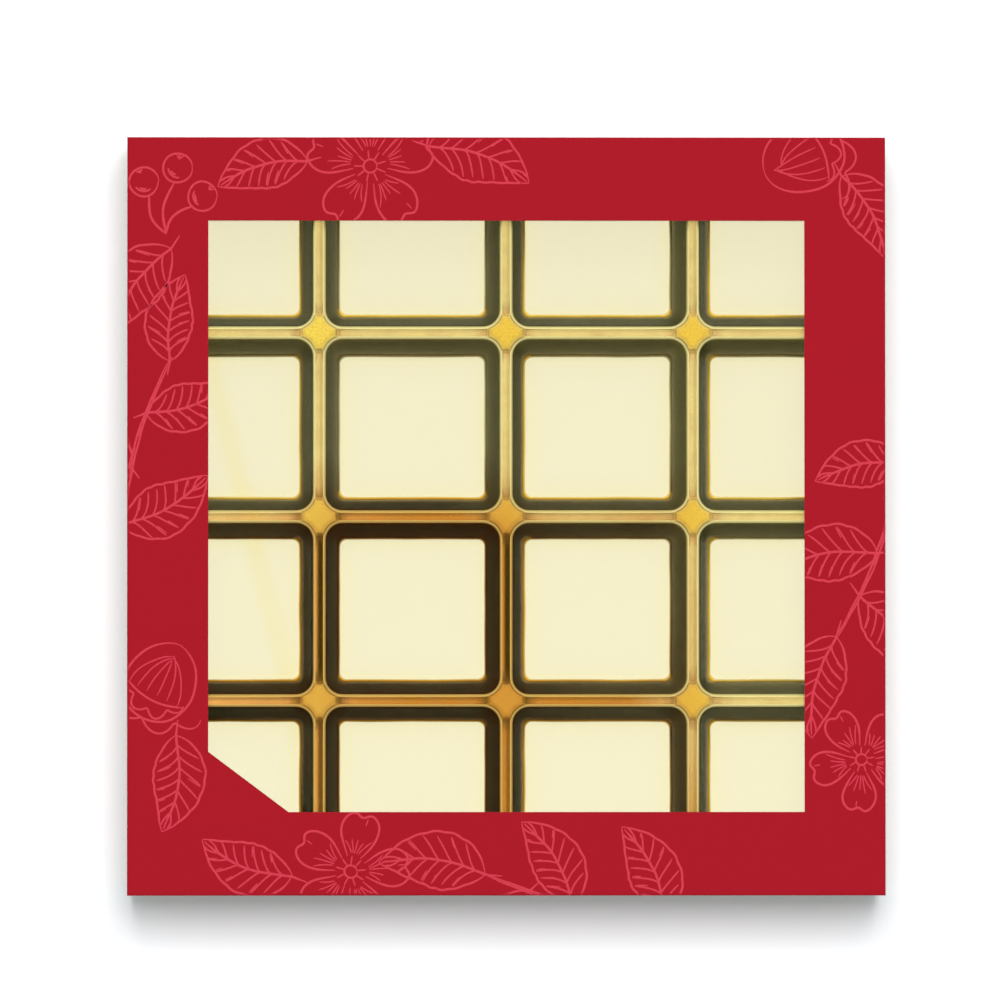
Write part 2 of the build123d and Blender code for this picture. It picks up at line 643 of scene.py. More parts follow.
class GoldShading:
    """The gold finish while it is wired: shared patterns, and what the shader gets."""

    def __init__(self, gold: GoldFinish, wiring: Wiring) -> None:
        """Wire the patterns and point values that several parts of the sheet read.

        Args:
            gold: The finish.
            wiring: The material's wiring.
        """
        self.gold, self.wiring = gold, wiring
        place = wiring.place()
        self.x, self.y = wiring.split(place)[:2]
        self.slow = wiring.noise(28.0, 2.0, place)
        self.streak = wiring.noise(260.0, 4.0, place)
        self.grain = wiring.noise(2600.0, 2.0, place)
        self.draw, self.pad = wiring.attribute("draw"), wiring.attribute("pad")
        # painted light and shade: back and pale mark where the gold is painted paler, at the back and along
        # the right, and where it stays deep, at the front left
        self.back = self.lit_towards_back()
        # left marks the far left, where the ridges are painted lighter and the pads get a painted highlight
        self.left = wiring.remap(self.x, *gold.left_range, 1.0, 0.0)
        self.pale = wiring.maths("MAXIMUM", self.back, wiring.remap(self.x, *gold.right_range, 0.0, 0.4))
        self.glow = self.glow_share()

    def lit_towards_back(self) -> Socket:
        """Where painted light makes the gold paler and painted shade leaves it deep.

        The back half's edge waves as the sine of x, and a slow noise makes it and the
        right side's edge wander.

        Returns:
            1 in the back half and along the right, 0 at the front left.
        """
        wiring, gold = self.wiring, self.gold
        wave = wiring.maths("SINE", wiring.maths("MULTIPLY", self.x, gold.wave_rate))
        drift = wiring.maths("MULTIPLY_ADD", self.slow, gold.drift, -gold.drift / 2)
        up = wiring.maths("MULTIPLY_ADD", wave, gold.wave, wiring.maths("ADD", self.y, drift))
        right = wiring.maths("MULTIPLY_ADD", self.y, 0.2, wiring.maths("ADD", self.x, drift))
        upper = wiring.remap(up, -4 * MM, 12 * MM)
        return wiring.maths("MAXIMUM", upper, wiring.remap(right, 20 * MM, 42 * MM))

    def glow_share(self) -> Socket:
        """How much painted reflection lights a wall's foot.

        Returns:
            The share, which starts higher up the wall where glow is stronger.
        """
        wiring = self.wiring
        glow = wiring.attribute("glow")
        start = wiring.maths("MULTIPLY_ADD", glow, -0.55, 2.45)
        rise = wiring.remap(self.draw, start, wiring.maths("ADD", start, 0.8))
        return wiring.maths("MULTIPLY", rise, wiring.remap(glow, 0.02, 0.25))

    def colour(self, specks: Socket) -> Socket:
        """Colour the ridges, walls, floors and pads, with painted light and shade, and dust on all but the
        floors.

        Args:
            specks: 1 inside a speck of dust.

        Returns:
            The colour.
        """
        wiring, gold = self.wiring, self.gold
        # painted reflection: the glow colour lights the walls' feet
        wall = wiring.mix(self.glow, self.wall_colour(), wiring.mix(self.back, *gold.glow))
        colour = wiring.mix(wiring.remap(self.draw, *gold.wall_range), self.ridge_colour(), wall)
        floor = wiring.mix(wiring.remap(self.draw, *gold.level_range), *gold.floor)
        colour = wiring.mix(wiring.remap(self.draw, *gold.floor_range), colour, floor)
        colour = wiring.mix(self.pad, colour, self.pad_colour())
        dusty = wiring.maths("MULTIPLY", specks, wiring.remap(self.draw, *gold.dusty_range, 1.0, 0.0))
        return wiring.mix(wiring.maths("MULTIPLY", dusty, gold.dust_cover), colour, gold.dust)

    def ridge_colour(self) -> Socket:
        """Colour the ridges with painted light and shade, painted shade in grooves and dips, and painted
        rim highlights.

        Returns:
            The colour.
        """
        wiring, gold, back = self.wiring, self.gold, self.back
        deep, pale = gold.ridge
        # painted light: ridges paler towards the back and lighter at the far left
        ridge = wiring.mix(back, wiring.mix(self.left, deep, gold.ridge_lit_left), pale)
        ridge = wiring.mix(wiring.remap(self.streak, 0.4, 0.75, 0.0, 0.25), ridge, gold.ridge_streak)
        # painted shade along the grooves
        colour = wiring.mix(wiring.attribute("groove"), ridge, wiring.mix(back, *gold.groove))
        # painted shade in the dips beside the pads, stronger at the front
        shade = wiring.maths("MULTIPLY", wiring.attribute("dip"), wiring.blend(back, 0.85, 0.45))
        colour = wiring.mix(shade, colour, wiring.mix(back, *gold.dip))
        # painted highlight on the rims
        return wiring.mix(wiring.remap(self.draw, *gold.rim_range), colour, wiring.mix(back, *gold.rim))

    def wall_colour(self) -> Socket:
        """Colour the walls: painted light pales them at the back and right, painted shade deepens them
        under the rim.

        Returns:
            The colour.
        """
        wiring, gold = self.wiring, self.gold
        # painted light: paler at the back and right; painted shade: deeper under the rim than at the foot
        top, foot = wiring.mix(self.pale, *gold.wall_top), wiring.mix(self.pale, *gold.wall_foot)
        depth = wiring.maths("MULTIPLY_ADD", self.streak, 0.3, self.draw)
        return wiring.mix(wiring.remap(depth, 1.7, 3.1), top, foot)

    def pad_colour(self) -> Socket:
        """Colour the pads: paler at the back by painted light, with a painted highlight at the back left
        and a coarse orange grain.

        Returns:
            The colour.
        """
        wiring, gold = self.wiring, self.gold
        # painted highlight: the pads brighter towards the back left
        sunny = wiring.maths("MULTIPLY", self.left, wiring.maths("MULTIPLY_ADD", self.y, 6.0, 0.7))
        star = wiring.mix(sunny, wiring.mix(self.back, *gold.pad), gold.pad_highlight)
        return wiring.mix(wiring.remap(self.grain, 0.42, 0.7, 0.0, 0.6), star, gold.pad_grain)

    def metal_share(self) -> Socket:
        """How metallic the sheet is.

        Where it is less, the sheet scatters light: on the rims, the pads and the walls'
        glowing feet, and on the pale walls more than on the deep ones.

        Returns:
            The share.
        """
        wiring, gold = self.wiring, self.gold
        low = wiring.remap(self.draw, 1.7, 2.95)
        wall = wiring.blend(self.pale, wiring.blend(low, 0.015, 0.08), wiring.blend(low, 0.17, 0.4))
        wall = wiring.maths("MULTIPLY", wall, wiring.blend(wiring.attribute("glow"), 1.0, 0.3))
        wall = wiring.maths("MAXIMUM", wall, wiring.remap(self.draw, 2.7, 2.9, 0.0, 0.3))
        wall = wiring.maths("MAXIMUM", wall, wiring.maths("MULTIPLY", self.glow, 0.85))
        rim = wiring.remap(self.draw, *gold.rim_range, 0.08, 0.55)
        level = wiring.maths("MAXIMUM", rim, wiring.maths("MULTIPLY", self.pad, 0.65))
        less = wiring.blend(wiring.remap(self.draw, *gold.wall_range), level, wall)
        less = wiring.blend(wiring.remap(self.draw, *gold.satin_range), less, gold.floor_satin)
        return wiring.maths("SUBTRACT", 1.0, less)

    def roughness(self) -> Socket:
        """How rough the sheet is.

        Returns:
            The roughness, least on the floors and most on the pads.
        """
        wiring, gold = self.wiring, self.gold
        rough = wiring.remap(self.draw, 1.2, 2.9, 0.19, 0.16)
        rough = wiring.maths("MULTIPLY_ADD", self.pad, 0.12, rough)
        rough = wiring.maths("MULTIPLY_ADD", self.streak, 0.03, rough)
        return wiring.blend(wiring.remap(self.draw, *gold.mirror_range), rough, gold.floor_roughness)

    def height(self) -> Socket:
        """The height of the pads' grain over the sheet's dishing, (x^2 + y^2) / (2 bowl).

        Returns:
            The height in metres.
        """
        wiring = self.wiring
        square = wiring.maths("MULTIPLY", self.x, self.x)
        square = wiring.maths("MULTIPLY_ADD", self.y, self.y, square)
        dishing = wiring.maths("DIVIDE", square, 2 * self.gold.bowl)
        depth = wiring.maths("MULTIPLY", self.pad, self.gold.grain_depth)
        return wiring.maths("MULTIPLY_ADD", self.grain, depth, dishing)


@dataclass(frozen=True)
class SheetBackFinish(Finish):
    """The formed sheet's underside: plain satin gold with draw lines."""

    name: str = "gold_sheet_back"
    roughness: float = 0.34
    metallic: float = 1.0
    colour: Colour = srgb(222, 186, 104)
    worn: Colour = srgb(196, 152, 74)

    def make(self) -> Material:
        """Make the material.

        Returns:
            The material.
        """
        material, wiring, shader = self.start()
        streak = wiring.noise(420.0, 4.0, wiring.stretched(1.0, 1.0, 0.12))
        wiring.feed(shader.inputs["Base Color"], wiring.mix(streak, self.worn, self.colour))
        rough = wiring.remap(streak, 0.3, 0.7, self.roughness - 0.06, self.roughness + 0.08)
        wiring.feed(shader.inputs["Roughness"], rough)
        self.bump(wiring, shader, streak, 0.015 * MM)
        return material


@dataclass(frozen=True)
class FilmFinish(Finish):
    """Clear film: thin glossy plastic that lets the lamps' light through.

    The point value fold is 1 along a fold, where a painted reflection tints the film a little yellow.
    """

    name: str = "clear_film"
    roughness: float = 0.03
    refraction: float = 1.05
    fold_reflection_tint: Colour = (1.0, 0.985, 0.9)

    def make(self) -> Material:
        """Make the material.

        Returns:
            The material.
        """
        material, wiring, shader = self.start()
        # painted reflection: a yellow tint along the fold
        tint = wiring.mix(wiring.attribute("fold"), (1.0, 1.0, 1.0), self.fold_reflection_tint)
        wiring.feed(shader.inputs["Base Color"], tint)
        shader.inputs["Transmission Weight"].default_value = 1.0
        shader.inputs["IOR"].default_value = self.refraction
        haze = wiring.noise(90.0, 3.0, wiring.place())
        rough = wiring.remap(haze, 0.3, 0.7, self.roughness, 2 * self.roughness)
        wiring.feed(shader.inputs["Roughness"], rough)
        rays = wiring.node("ShaderNodeLightPath")
        clear = wiring.node("ShaderNodeBsdfTransparent")
        either = wiring.maths("MAXIMUM", rays.outputs["Is Shadow Ray"], rays.outputs["Is Diffuse Ray"])
        blend = wiring.node("ShaderNodeMixShader")
        for socket, source in zip(blend.inputs, (either, shader.outputs[0], clear.outputs[0])):
            wiring.feed(socket, source)
        wiring.feed(material.node_tree.nodes["Material Output"].inputs["Surface"], blend.outputs[0])
        return material


@dataclass(frozen=True)
class GlueFinish(Finish):
    """Dried white glue, a little yellow, with brush marks."""

    name: str = "dried_glue"
    roughness: float = 0.35
    colour: Colour = srgb(232, 226, 206)

    def make(self) -> Material:
        """Make the material.

        Returns:
            The material.
        """
        material, wiring, shader = self.start()
        marks = wiring.noise(420.0, 3.0, wiring.place())
        darker = tuple(value * 0.86 for value in self.colour)
        wiring.feed(shader.inputs["Base Color"], wiring.mix(marks, darker, self.colour))
        self.bump(wiring, shader, marks, 0.03 * MM)
        return material


@dataclass(frozen=True)
class InkFinish(Finish):
    """The line print: a lighter red ink on the red lid."""

    name: str = "line_ink"
    roughness: float = 0.5
    specular: float = 0.12
    colour: Colour = (0.66, 0.05, 0.08)
    thin: Colour = (0.56, 0.032, 0.053)

    def make(self, fibre: Tree) -> Material:
        """Make the material.

        Args:
            fibre: The paper fibre node group.

        Returns:
            The material.
        """
        material, wiring, shader = self.start()
        paper = wiring.node("ShaderNodeGroup", node_tree=fibre)
        cover = wiring.remap(paper.outputs["Fibre"], 0.3, 0.6, 0.3, 1.0)
        wiring.feed(shader.inputs["Base Color"], wiring.mix(cover, self.thin, self.colour))
        self.bump(wiring, shader, paper.outputs["Fibre"], 0.006 * MM)
        return material


class Paint(Enum):
    """Which face of the board a carton's face shows."""

    OUTSIDE = 0
    BARE = 1


@dataclass
class Window:
    """The lid's window: a rectangle with one corner cut off, about the origin."""

    half_x: float
    half_y: float
    cut_x: float = 16.5 * MM
    cut_y: float = 12.4 * MM

    def corners(self) -> Array:
        """Walk once round the outline, starting at the middle of its cut.

        Returns:
            The cut's middle and the outline's five corners.
        """
        x, y = self.half_x, self.half_y
        return np.array(
            [
                (-x + self.cut_x / 2, -y + self.cut_y / 2),
                (-x + self.cut_x, -y),
                (x, -y),
                (x, y),
                (-x, y),
                (-x, -y + self.cut_y),
            ]
        )

    def outside(self, place: Array) -> Array:
        """How far places lie outside the window, below 0 inside it.

        The most of the distances past the four sides and the cut.

        Args:
            place: Points in plan.

        Returns:
            One distance for each.
        """
        cut = np.array((self.cut_y, self.cut_x)) / math.hypot(self.cut_x, self.cut_y)
        start = np.array((-self.half_x + self.cut_x, -self.half_y))
        past_sides = np.abs(place) - (self.half_x, self.half_y)
        past_cut = -(place - start) @ cut
        return np.maximum(past_sides.max(axis=-1), past_cut)


@dataclass
class Carton:
    """One folded blank: a panel with four walls, and flaps glued inside two of them.

    The panel's outer face lies at panel_z and the walls' free edges at edge_z, above
    or below it. The front and back walls' ends show raw board at the corners, with
    the glue's slit and the side walls' rounded folds beside it.
    """

    half_x: float
    half_y: float
    panel_z: float
    edge_z: float
    board: float = 0.45 * MM
    fold: float = 0.4 * MM
    slit: float = 0.1 * MM
    slit_depth: float = 0.3 * MM
    edge_round: float = 0.05 * MM
    bow: float = 0.13 * MM
    panel_sag: float = 0.04 * MM
    flap_width: float = 14 * MM
    flap_taper: float = 3 * MM
    flap_gap: float = 0.6 * MM
    window: Window | None = None

    @property
    def way(self) -> float:
        """1 if the walls hang down from the panel, -1 if they stand up from it."""
        return math.copysign(1.0, self.panel_z - self.edge_z)

    @property
    def wall(self) -> float:
        """How deep the walls are, from the panel's outer face to their free edge."""
        return abs(self.panel_z - self.edge_z)

    def sag_at(self, place: Array) -> Array:
        """How far the panel's outer face lies in from its plane.

        Two slow waves across the panel, at most panel_sag deep and none at its edges.

        Args:
            place: Points in plan.

        Returns:
            One depth for each.
        """
        x = place[..., 0] / self.half_x
        y = place[..., 1] / self.half_y
        waves = 0.5 + 0.25 * np.sin(5 * x + 1.3) + 0.25 * np.cos(4 * y - 0.6)
        edge = np.clip((1 - x**2) * (1 - y**2) * 6, 0.0, 1.0)
        return self.panel_sag * waves * edge

    def bow_at(self, along: Array, half: float, depth: Array) -> Array:
        """How far a wall bends inwards, most in the middle of its free edge.

        The bow falls off as (1 - u^2)^2 along the wall and grows as the square of the
        depth from the panel.

        Args:
            along: Places along the wall, about its middle.
            half: Half the wall's length.
            depth: Depths below the panel's outer face.

        Returns:
            One distance for each.
        """
        return self.bow * (1 - np.clip(along / half, -1, 1) ** 2) ** 2 * (depth / self.wall) ** 2

    def perimeter(self) -> tuple[Array, Array, Array]:
        """Walk once round the carton, from the front left corner.

        Returns:
            The outer points in plan, the points of the window's outline that lie
            across from them, and how far each wall's face is cut back there.
        """
        gap = self.board + self.slit
        wide = [4 * MM, 9 * MM, 16 * MM, 26 * MM, 38 * MM, 50 * MM, 63 * MM]
        plain = [0, 0.3 * MM, 1.5 * MM, *wide]
        bend = [gap + self.fold * share for share in (0.08, 0.25, 0.5, 0.75, 1.0)]
        folded = [0, 0.9 * self.board, self.board, 1.01 * self.board, gap - 0.01 * self.board, gap]
        folded += [*bend, 2 * MM, *wide]
        corners = np.array([(-1, -1), (1, -1), (1, 1), (-1, 1)]) * (self.half_x, self.half_y)
        outer, across, cut = [], [], []
        for side in range(4):
            start, end = corners[side], corners[(side + 1) % 4]
            length = float(np.linalg.norm(end - start))
            stops = mirrored_stops(folded if side % 2 else plain, length)
            knots, far = self.knots(side, length)
            stops = np.unique(np.concatenate([stops, knots[1:-1]]))[:-1]
            outer.append(start + (end - start) * stops[:, None] / length)
            across.append(np.stack([np.interp(stops, knots, far[:, axis]) for axis in (0, 1)], -1))
            cut.append(self.cut_back(np.minimum(stops, length - stops)) if side % 2 else stops * 0)
        return np.concatenate(outer), np.concatenate(across), np.concatenate(cut)

    def knots(self, side: int, length: float) -> tuple[Array, Array]:
        """Where a side's places meet the corners of the window across from it.

        Args:
            side: 0 for the front, then counter-clockwise.
            length: The side's length.

        Returns:
            Distances along the side, and the window's points there.
        """
        if self.window is None:
            return np.array([0.0, length]), np.zeros((2, 2))
        middle, front_left, front_right, back_right, back_left, left = self.window.corners()
        between, seen = (
            ([front_left[0] + self.half_x], [middle, front_left, front_right]),
            ([], [front_right, back_right]),
            ([], [back_right, back_left]),
            ([self.half_y - left[1]], [back_left, left, middle]),
        )[side]
        return np.array([0.0, *between, length]), np.array(seen)

    def cut_back(self, reach: Array) -> Array:
        """How far a side wall's face is cut back at distances from its corner.

        Nothing over the raw end of the front or back wall, the slit's depth in the
        slit, and a quarter circle of the fold's radius beside it.

        Args:
            reach: Distances from the corner.

        Returns:
            One depth for each.
        """
        start = self.board + self.slit
        rise = np.clip(self.fold - (reach - start), 0, self.fold)
        bend = self.fold - np.sqrt(self.fold**2 - rise**2)
        inside = (reach > self.board) & (reach < start)
        return np.where(inside, self.slit_depth, np.where(reach >= start, bend, 0.0))

    def stations(self) -> Array:
        """The board's section, from the panel's free edge out, round and back.

        Returns:
            Rows of inset from the outer face, share of the way to the window or the
            middle, distance short of it, depth, share of the corner's cut-back, sag
            share, and paint of the face that follows.
        """
        out, bare = Paint.OUTSIDE.value, Paint.BARE.value
        tip, fold, board, wall = self.edge_round, self.fold, self.board, self.wall
        rows = []
        if self.window is not None:
            rows += [(fold, 1.0, 0, board, 0, 0, bare), (fold, 1.0, 0, tip, 0, 1, out)]
            rows += [(fold, 1.0, tip, 0, 0, 1, out)]
        else:
            rows += [(fold, 1.0, 0, 0, 0, 1, out)]
        rows += [(fold, share, 0, 0, 0, 1, out) for share in (0.86, 0.7, 0.5, 0.3, 0.14, 0.04)]
        for turn in np.linspace(0, math.pi / 2, 7):
            inset, depth = fold * (1 - math.sin(turn)), fold * (1 - math.cos(turn))
            rows.append((inset, 0, 0, depth, 0, 0, out))
        rows += [(0, 0, 0, fold + 0.2 * MM, 0, 0, out), (0, 0, 0, fold + 0.5 * MM, 1, 0, out)]
        rows += [(0, 0, 0, share * wall, 1, 0, out) for share in (0.12, 0.25, 0.4, 0.6, 0.8, 0.93)]
        rows += [(0, 0, 0, wall - tip, 1, 0, bare), (tip, 0, 0, wall, 1, 0, bare)]
        rows += [(board - tip, 0, 0, wall, 0, 0, bare), (board, 0, 0, wall - tip, 0, 0, bare)]
        rows += [(board, 0, 0, share * wall, 0, 0, bare) for share in (0.8, 0.6, 0.4, 0.25, 0.12)]
        rows += [(board, 0, 0, board + tip, 0, 0, bare), (board + tip, 0, 0, board, 0, 0, bare)]
        rows += [(board, share, 0, board, 0, 0, bare) for share in (0.14, 0.5, 0.86)]
        if self.window is None:
            rows.append((board, 1.0, 0, board, 0, 0, bare))
        return np.array(rows, float)

    def shell(self) -> Surface:
        """Carry the board's section round the perimeter.

        Each point is the outer point drawn in by the inset, then moved its share of
        the way to the window or the middle; walls bow inwards and side walls are cut
        back at their corners.

        Returns:
            The closed surface of the panel and its four walls.
        """
        outer, across, cut = self.perimeter()
        inset, share, short, depth, cut_share, sag_share, paint = self.stations().T[:, :, None]
        half = np.array((self.half_x, self.half_y))
        drawn = outer[None] * (1 - inset[..., None] / half)
        on_side = np.isclose(np.abs(outer[:, 0]), self.half_x) & (cut > 0)
        drawn[..., 0] -= np.sign(outer[:, 0]) * on_side * cut * cut_share
        step = drawn - across
        length = np.linalg.norm(step, axis=-1, keepdims=True)
        place = across + step * (1 - share[..., None]) + step / length * short[..., None]
        for axis in (0, 1):
            other = 1 - axis
            here = np.isclose(np.abs(outer[:, axis]), half[axis])
            bow = self.bow_at(outer[None, :, other], half[other], depth) * here * (share == 0)
            place[..., axis] -= np.sign(outer[:, axis]) * bow
        sag = self.sag_at(place) * sag_share
        height = self.panel_z - self.way * (depth + sag)
        points = np.concatenate([place, np.broadcast_to(height, place.shape[:2])[..., None]], -1)
        rows, columns = points.shape[:2]
        closed = self.window is not None
        faces = grid_faces(rows, columns, closed, True)
        paint = np.repeat(paint[: rows if closed else rows - 1, 0], columns).reshape(-1, columns)
        end = half[1] - np.abs(outer[:, 1])
        raw = np.isclose(np.abs(outer[:, 0]), half[0]) & (end < self.board + self.slit)
        raw &= np.isclose(np.abs(np.roll(outer, -1, 0)[:, 0]), half[0])
        raw &= np.roll(end, -1) < self.board + self.slit * 1.01
        walls = (cut_share[:, 0] > 0)[: len(paint)]
        paint[np.ix_(walls, raw)] = Paint.BARE.value
        return outward(Surface(points.reshape(-1, 3), faces, paint.reshape(-1)))

    def flap(self, side_x: int, side_y: int) -> Surface:
        """One glue flap: a thin plate that tapers from its fold to its free end.

        A rounded rectangle of the board's thickness and the flap's height is carried
        from the side wall inwards, losing the taper at both edges.

        Args:
            side_x: -1 for the left wall's flap, 1 for the right one's.
            side_y: -1 at the front, 1 at the back.

        Returns:
            The closed surface.
        """
        along = np.array([0.0, 0.3, 2, 5, 9, 13, 13.8, 14.0]) * MM / self.flap_width
        thin = np.array([1, 1, 1, 1, 1, 1, 0.9, 0.3])
        squareness = 1.6
        start_x = self.half_x - self.board
        mid_y = self.half_y - self.board - self.slit - self.board / 2
        low = self.board + self.flap_gap + self.flap_taper * along
        high = self.wall - self.edge_round - self.flap_taper * along
        turn = np.linspace(0, 2 * math.pi, 24, endpoint=False)
        box_y = np.clip(squareness * np.cos(turn), -1, 1)[None] * thin[:, None] * self.board / 2
        box_z = np.clip(squareness * np.sin(turn), -1, 1)[None] * (high - low)[:, None] / 2
        depth = (low + high)[:, None] / 2 + box_z
        x = np.broadcast_to((start_x - along * self.flap_width)[:, None], depth.shape)
        points = np.stack([side_x * x, side_y * (mid_y + box_y), self.panel_z - self.way * depth], -1)
        rows, columns = depth.shape
        caps = np.repeat(points.mean(axis=1)[[0, -1], None], columns, 1)
        points = np.concatenate([caps[:1], points, caps[1:]])
        faces = grid_faces(rows + 2, columns, False, True)
        return outward(Surface(points.reshape(-1, 3), faces, np.full(len(faces), Paint.BARE.value)))

    def build(self, name: str, outside: Material, bare: Material) -> Piece:
        """Make the carton's mesh and dress it.

        Args:
            name: The piece's name.
            outside: The printed face's material.
            bare: The material of the board's inside and its cut edges.

        Returns:
            The piece.
        """
        flaps = [self.flap(x, y) for x in (-1, 1) for y in (-1, 1)]
        return make_piece(name, joined([self.shell(), *flaps]), [outside, bare], weld=0.0005 * MM)

    def wrap(self, place: Array, lift: float) -> tuple[Array, Array]:
        """Carry places of the flat blank onto the folded carton's outer face.

        Within the panel a place keeps its x and y; past it, it goes round the fold's
        quarter circle and on down the wall.

        Args:
            place: Points on the flat blank, about the panel's middle.
            lift: How far the points stand off the face.

        Returns:
            The points and the face's normals there.
        """
        half = np.array((self.half_x, self.half_y))
        past = np.clip(np.abs(place) - (half - self.fold), 0, None)
        turn = np.clip(past / self.fold, 0, math.pi / 2)
        down = np.clip(past - self.fold * math.pi / 2, 0, None)
        flat = np.clip(np.abs(place), 0, half - self.fold)
        plan = np.sign(place) * (flat + self.fold * np.sin(turn))
        depth = (self.fold * (1 - np.cos(turn)) + down).sum(axis=-1)
        on_panel = past.max(axis=-1) == 0
        depth = depth + np.where(on_panel, self.sag_at(place), 0.0)
        normal = np.zeros((len(place), 3))
        normal[:, :2] = np.sign(place) * np.sin(turn)
        normal[:, 2] = self.way * np.cos(turn).min(axis=-1)
        normal /= np.linalg.norm(normal, axis=1, keepdims=True)
        for axis in (0, 1):
            bow = self.bow_at(place[:, 1 - axis], half[1 - axis], depth) * (down[:, axis] > 0)
            plan[:, axis] -= np.sign(place[:, axis]) * bow
        points = np.concatenate([plan, (self.panel_z - self.way * depth)[:, None]], -1)
        return points + normal * lift, normal


@dataclass
class Pen:
    """Draws the strokes of the lid's print, in metres on the flat blank.

    Every stroke is a row of points; a slow wobble makes it look drawn by hand.
    """

    seed: int = 11
    wobble: float = 0.1 * MM
    wobble_rates: tuple[float, ...] = (1.1 * MM, 2.3 * MM, 1.4 * MM, 2.9 * MM)
    line: float = 0.5 * MM
    strokes: list[tuple[Array, float]] = field(default_factory=list)

    def __post_init__(self) -> None:
        """Start the pen's own random numbers."""
        self.random = np.random.default_rng(self.seed)

    def draw(self, points: Array, at: Pair, angle: float, width: float = 1.0) -> None:
        """Add a stroke, turned and moved to its place.

        Args:
            points: The stroke's points about its motif's origin.
            at: Where that origin goes.
            angle: How far the motif is turned, in degrees.
            width: The stroke's width as a share of the pen's line.
        """
        turn = math.radians(angle)
        spin = np.array([[math.cos(turn), math.sin(turn)], [-math.sin(turn), math.cos(turn)]])
        placed = points @ spin + np.array(at)
        length = distances_along(placed)
        phases = self.random.uniform(0, 2 * math.pi, 4)
        waves = [np.sin(length / rate + phase) for rate, phase in zip(self.wobble_rates, phases)]
        shift = np.stack([waves[0] + waves[1], waves[2] + waves[3]], -1) * self.wobble / 2
        self.strokes.append((placed + shift, self.line * width))

    def leaf(self, at: Pair, angle: float, length: float, breadth: float, bend: float = 0.2) -> None:
        """Draw a leaf from its stalk: outline, midrib, side veins and short hatching.

        The blade is a surface of two parameters: t along the bent midrib, and s across
        it, out to a half breadth of sin(pi t^0.8) that narrows to the tip.

        Args:
            at: The foot of the leaf.
            angle: Its direction, in degrees.
            length: Its length.
            breadth: Its half breadth.
            bend: How far the midrib bends, as a share of the length.
        """

        def blade(t: Array, s: Array) -> Array:
            """Find places of the blade.

            Args:
                t: Shares of the way along the midrib.
                s: Shares of the half breadth, to either side.

            Returns:
                The points about the leaf's foot.
            """
            x = length * t
            y = bend * length * np.sin(math.pi * t) * 0.5
            slope = bend * math.pi * 0.5 * np.cos(math.pi * t)
            scale = 1 / np.sqrt(1 + slope**2)
            half = breadth * np.sin(math.pi * np.clip(t, 0, 1) ** 0.8) ** 0.9
            return np.stack([x - s * half * slope * scale, y + s * half * scale], -1)

        t = np.linspace(0, 1, 40)
        for s in (1, -1):
            scallop = 1 + 0.05 * np.abs(np.sin(7 * math.pi * t))
            self.draw(blade(t, s * scallop), at, angle)
        stalk = np.linspace(-0.16, 0.97, 30)
        foot = np.stack([np.minimum(stalk, 0) * length, stalk * 0], -1)
        self.draw(blade(np.clip(stalk, 0, 1), stalk * 0) + foot, at, angle, 1.1)
        u = np.linspace(0, 1, 14)
        for start in np.linspace(0.08, 0.78, 7):
            for s in (1, -1):
                reach = self.random.uniform(0.86, 0.97)
                self.draw(blade(start + 0.17 * u**0.8, s * reach * u**1.15), at, angle, 0.8)
            side = self.random.choice((-1, 1))
            low = self.random.uniform(0.35, 0.55)
            across = np.linspace(low, 0.9, 8)
            self.draw(blade(start + 0.07 + 0.12 * across, side * across), at, angle, 0.6)

    def blossom(self, at: Pair, radius: float, turn: float, petals: int = 5) -> None:
        """Draw a blossom: heart-tipped petals with hatching, a middle and stamens.

        A petal's edge is r = R (0.26 + 0.74 sin(pi w)^0.55) with a notch at its
        middle, for w across the petal's share of the circle.

        Args:
            at: The blossom's middle.
            radius: Its outer radius.
            turn: How far it is turned, in degrees.
            petals: Number of petals.
        """
        sector = 2 * math.pi / petals
        w = np.linspace(0.0, 1.0, 36)
        for petal in range(petals):
            middle = petal * sector
            swell = np.sin(math.pi * w) ** 0.55
            notch = 1 - 0.1 * np.exp(-(((w - 0.5) / 0.07) ** 2))
            r = radius * (0.26 + 0.74 * swell) * notch
            phi = middle + sector * (w - 0.5) * (0.7 + 0.42 * swell)
            self.draw(polar(r, phi), at, turn)
            for offset in np.linspace(-0.26, 0.26, 5):
                reach = np.linspace(0.3, self.random.uniform(0.5, 0.68), 8) * radius
                ray = middle + offset * sector * np.linspace(0.6, 1.2, 8)
                self.draw(polar(reach, ray), at, turn, 0.6)
            tip = np.linspace(0.78, 0.9, 5) * radius
            ray = np.full(5, middle + self.random.uniform(-0.12, 0.12) * sector)
            self.draw(polar(tip, ray), at, turn, 0.6)
        for stamen in np.arange(9) * 2 * math.pi / 9:
            reach = np.linspace(0.1, 0.25, 5) * radius
            self.draw(polar(reach, stamen), at, turn, 0.7)
        self.ring(at, 0.1 * radius)

    def ring(self, at: Pair, radius: float, share: float = 1.0, start: float = 0.0) -> None:
        """Draw a circle or a part of one.

        Args:
            at: Its middle.
            radius: Its radius.
            share: How much of the circle is drawn.
            start: Where it starts, in degrees.
        """
        angle = np.linspace(0, 2 * math.pi * share, max(8, int(34 * share)))
        self.draw(polar(radius, angle), at, start, 0.9)

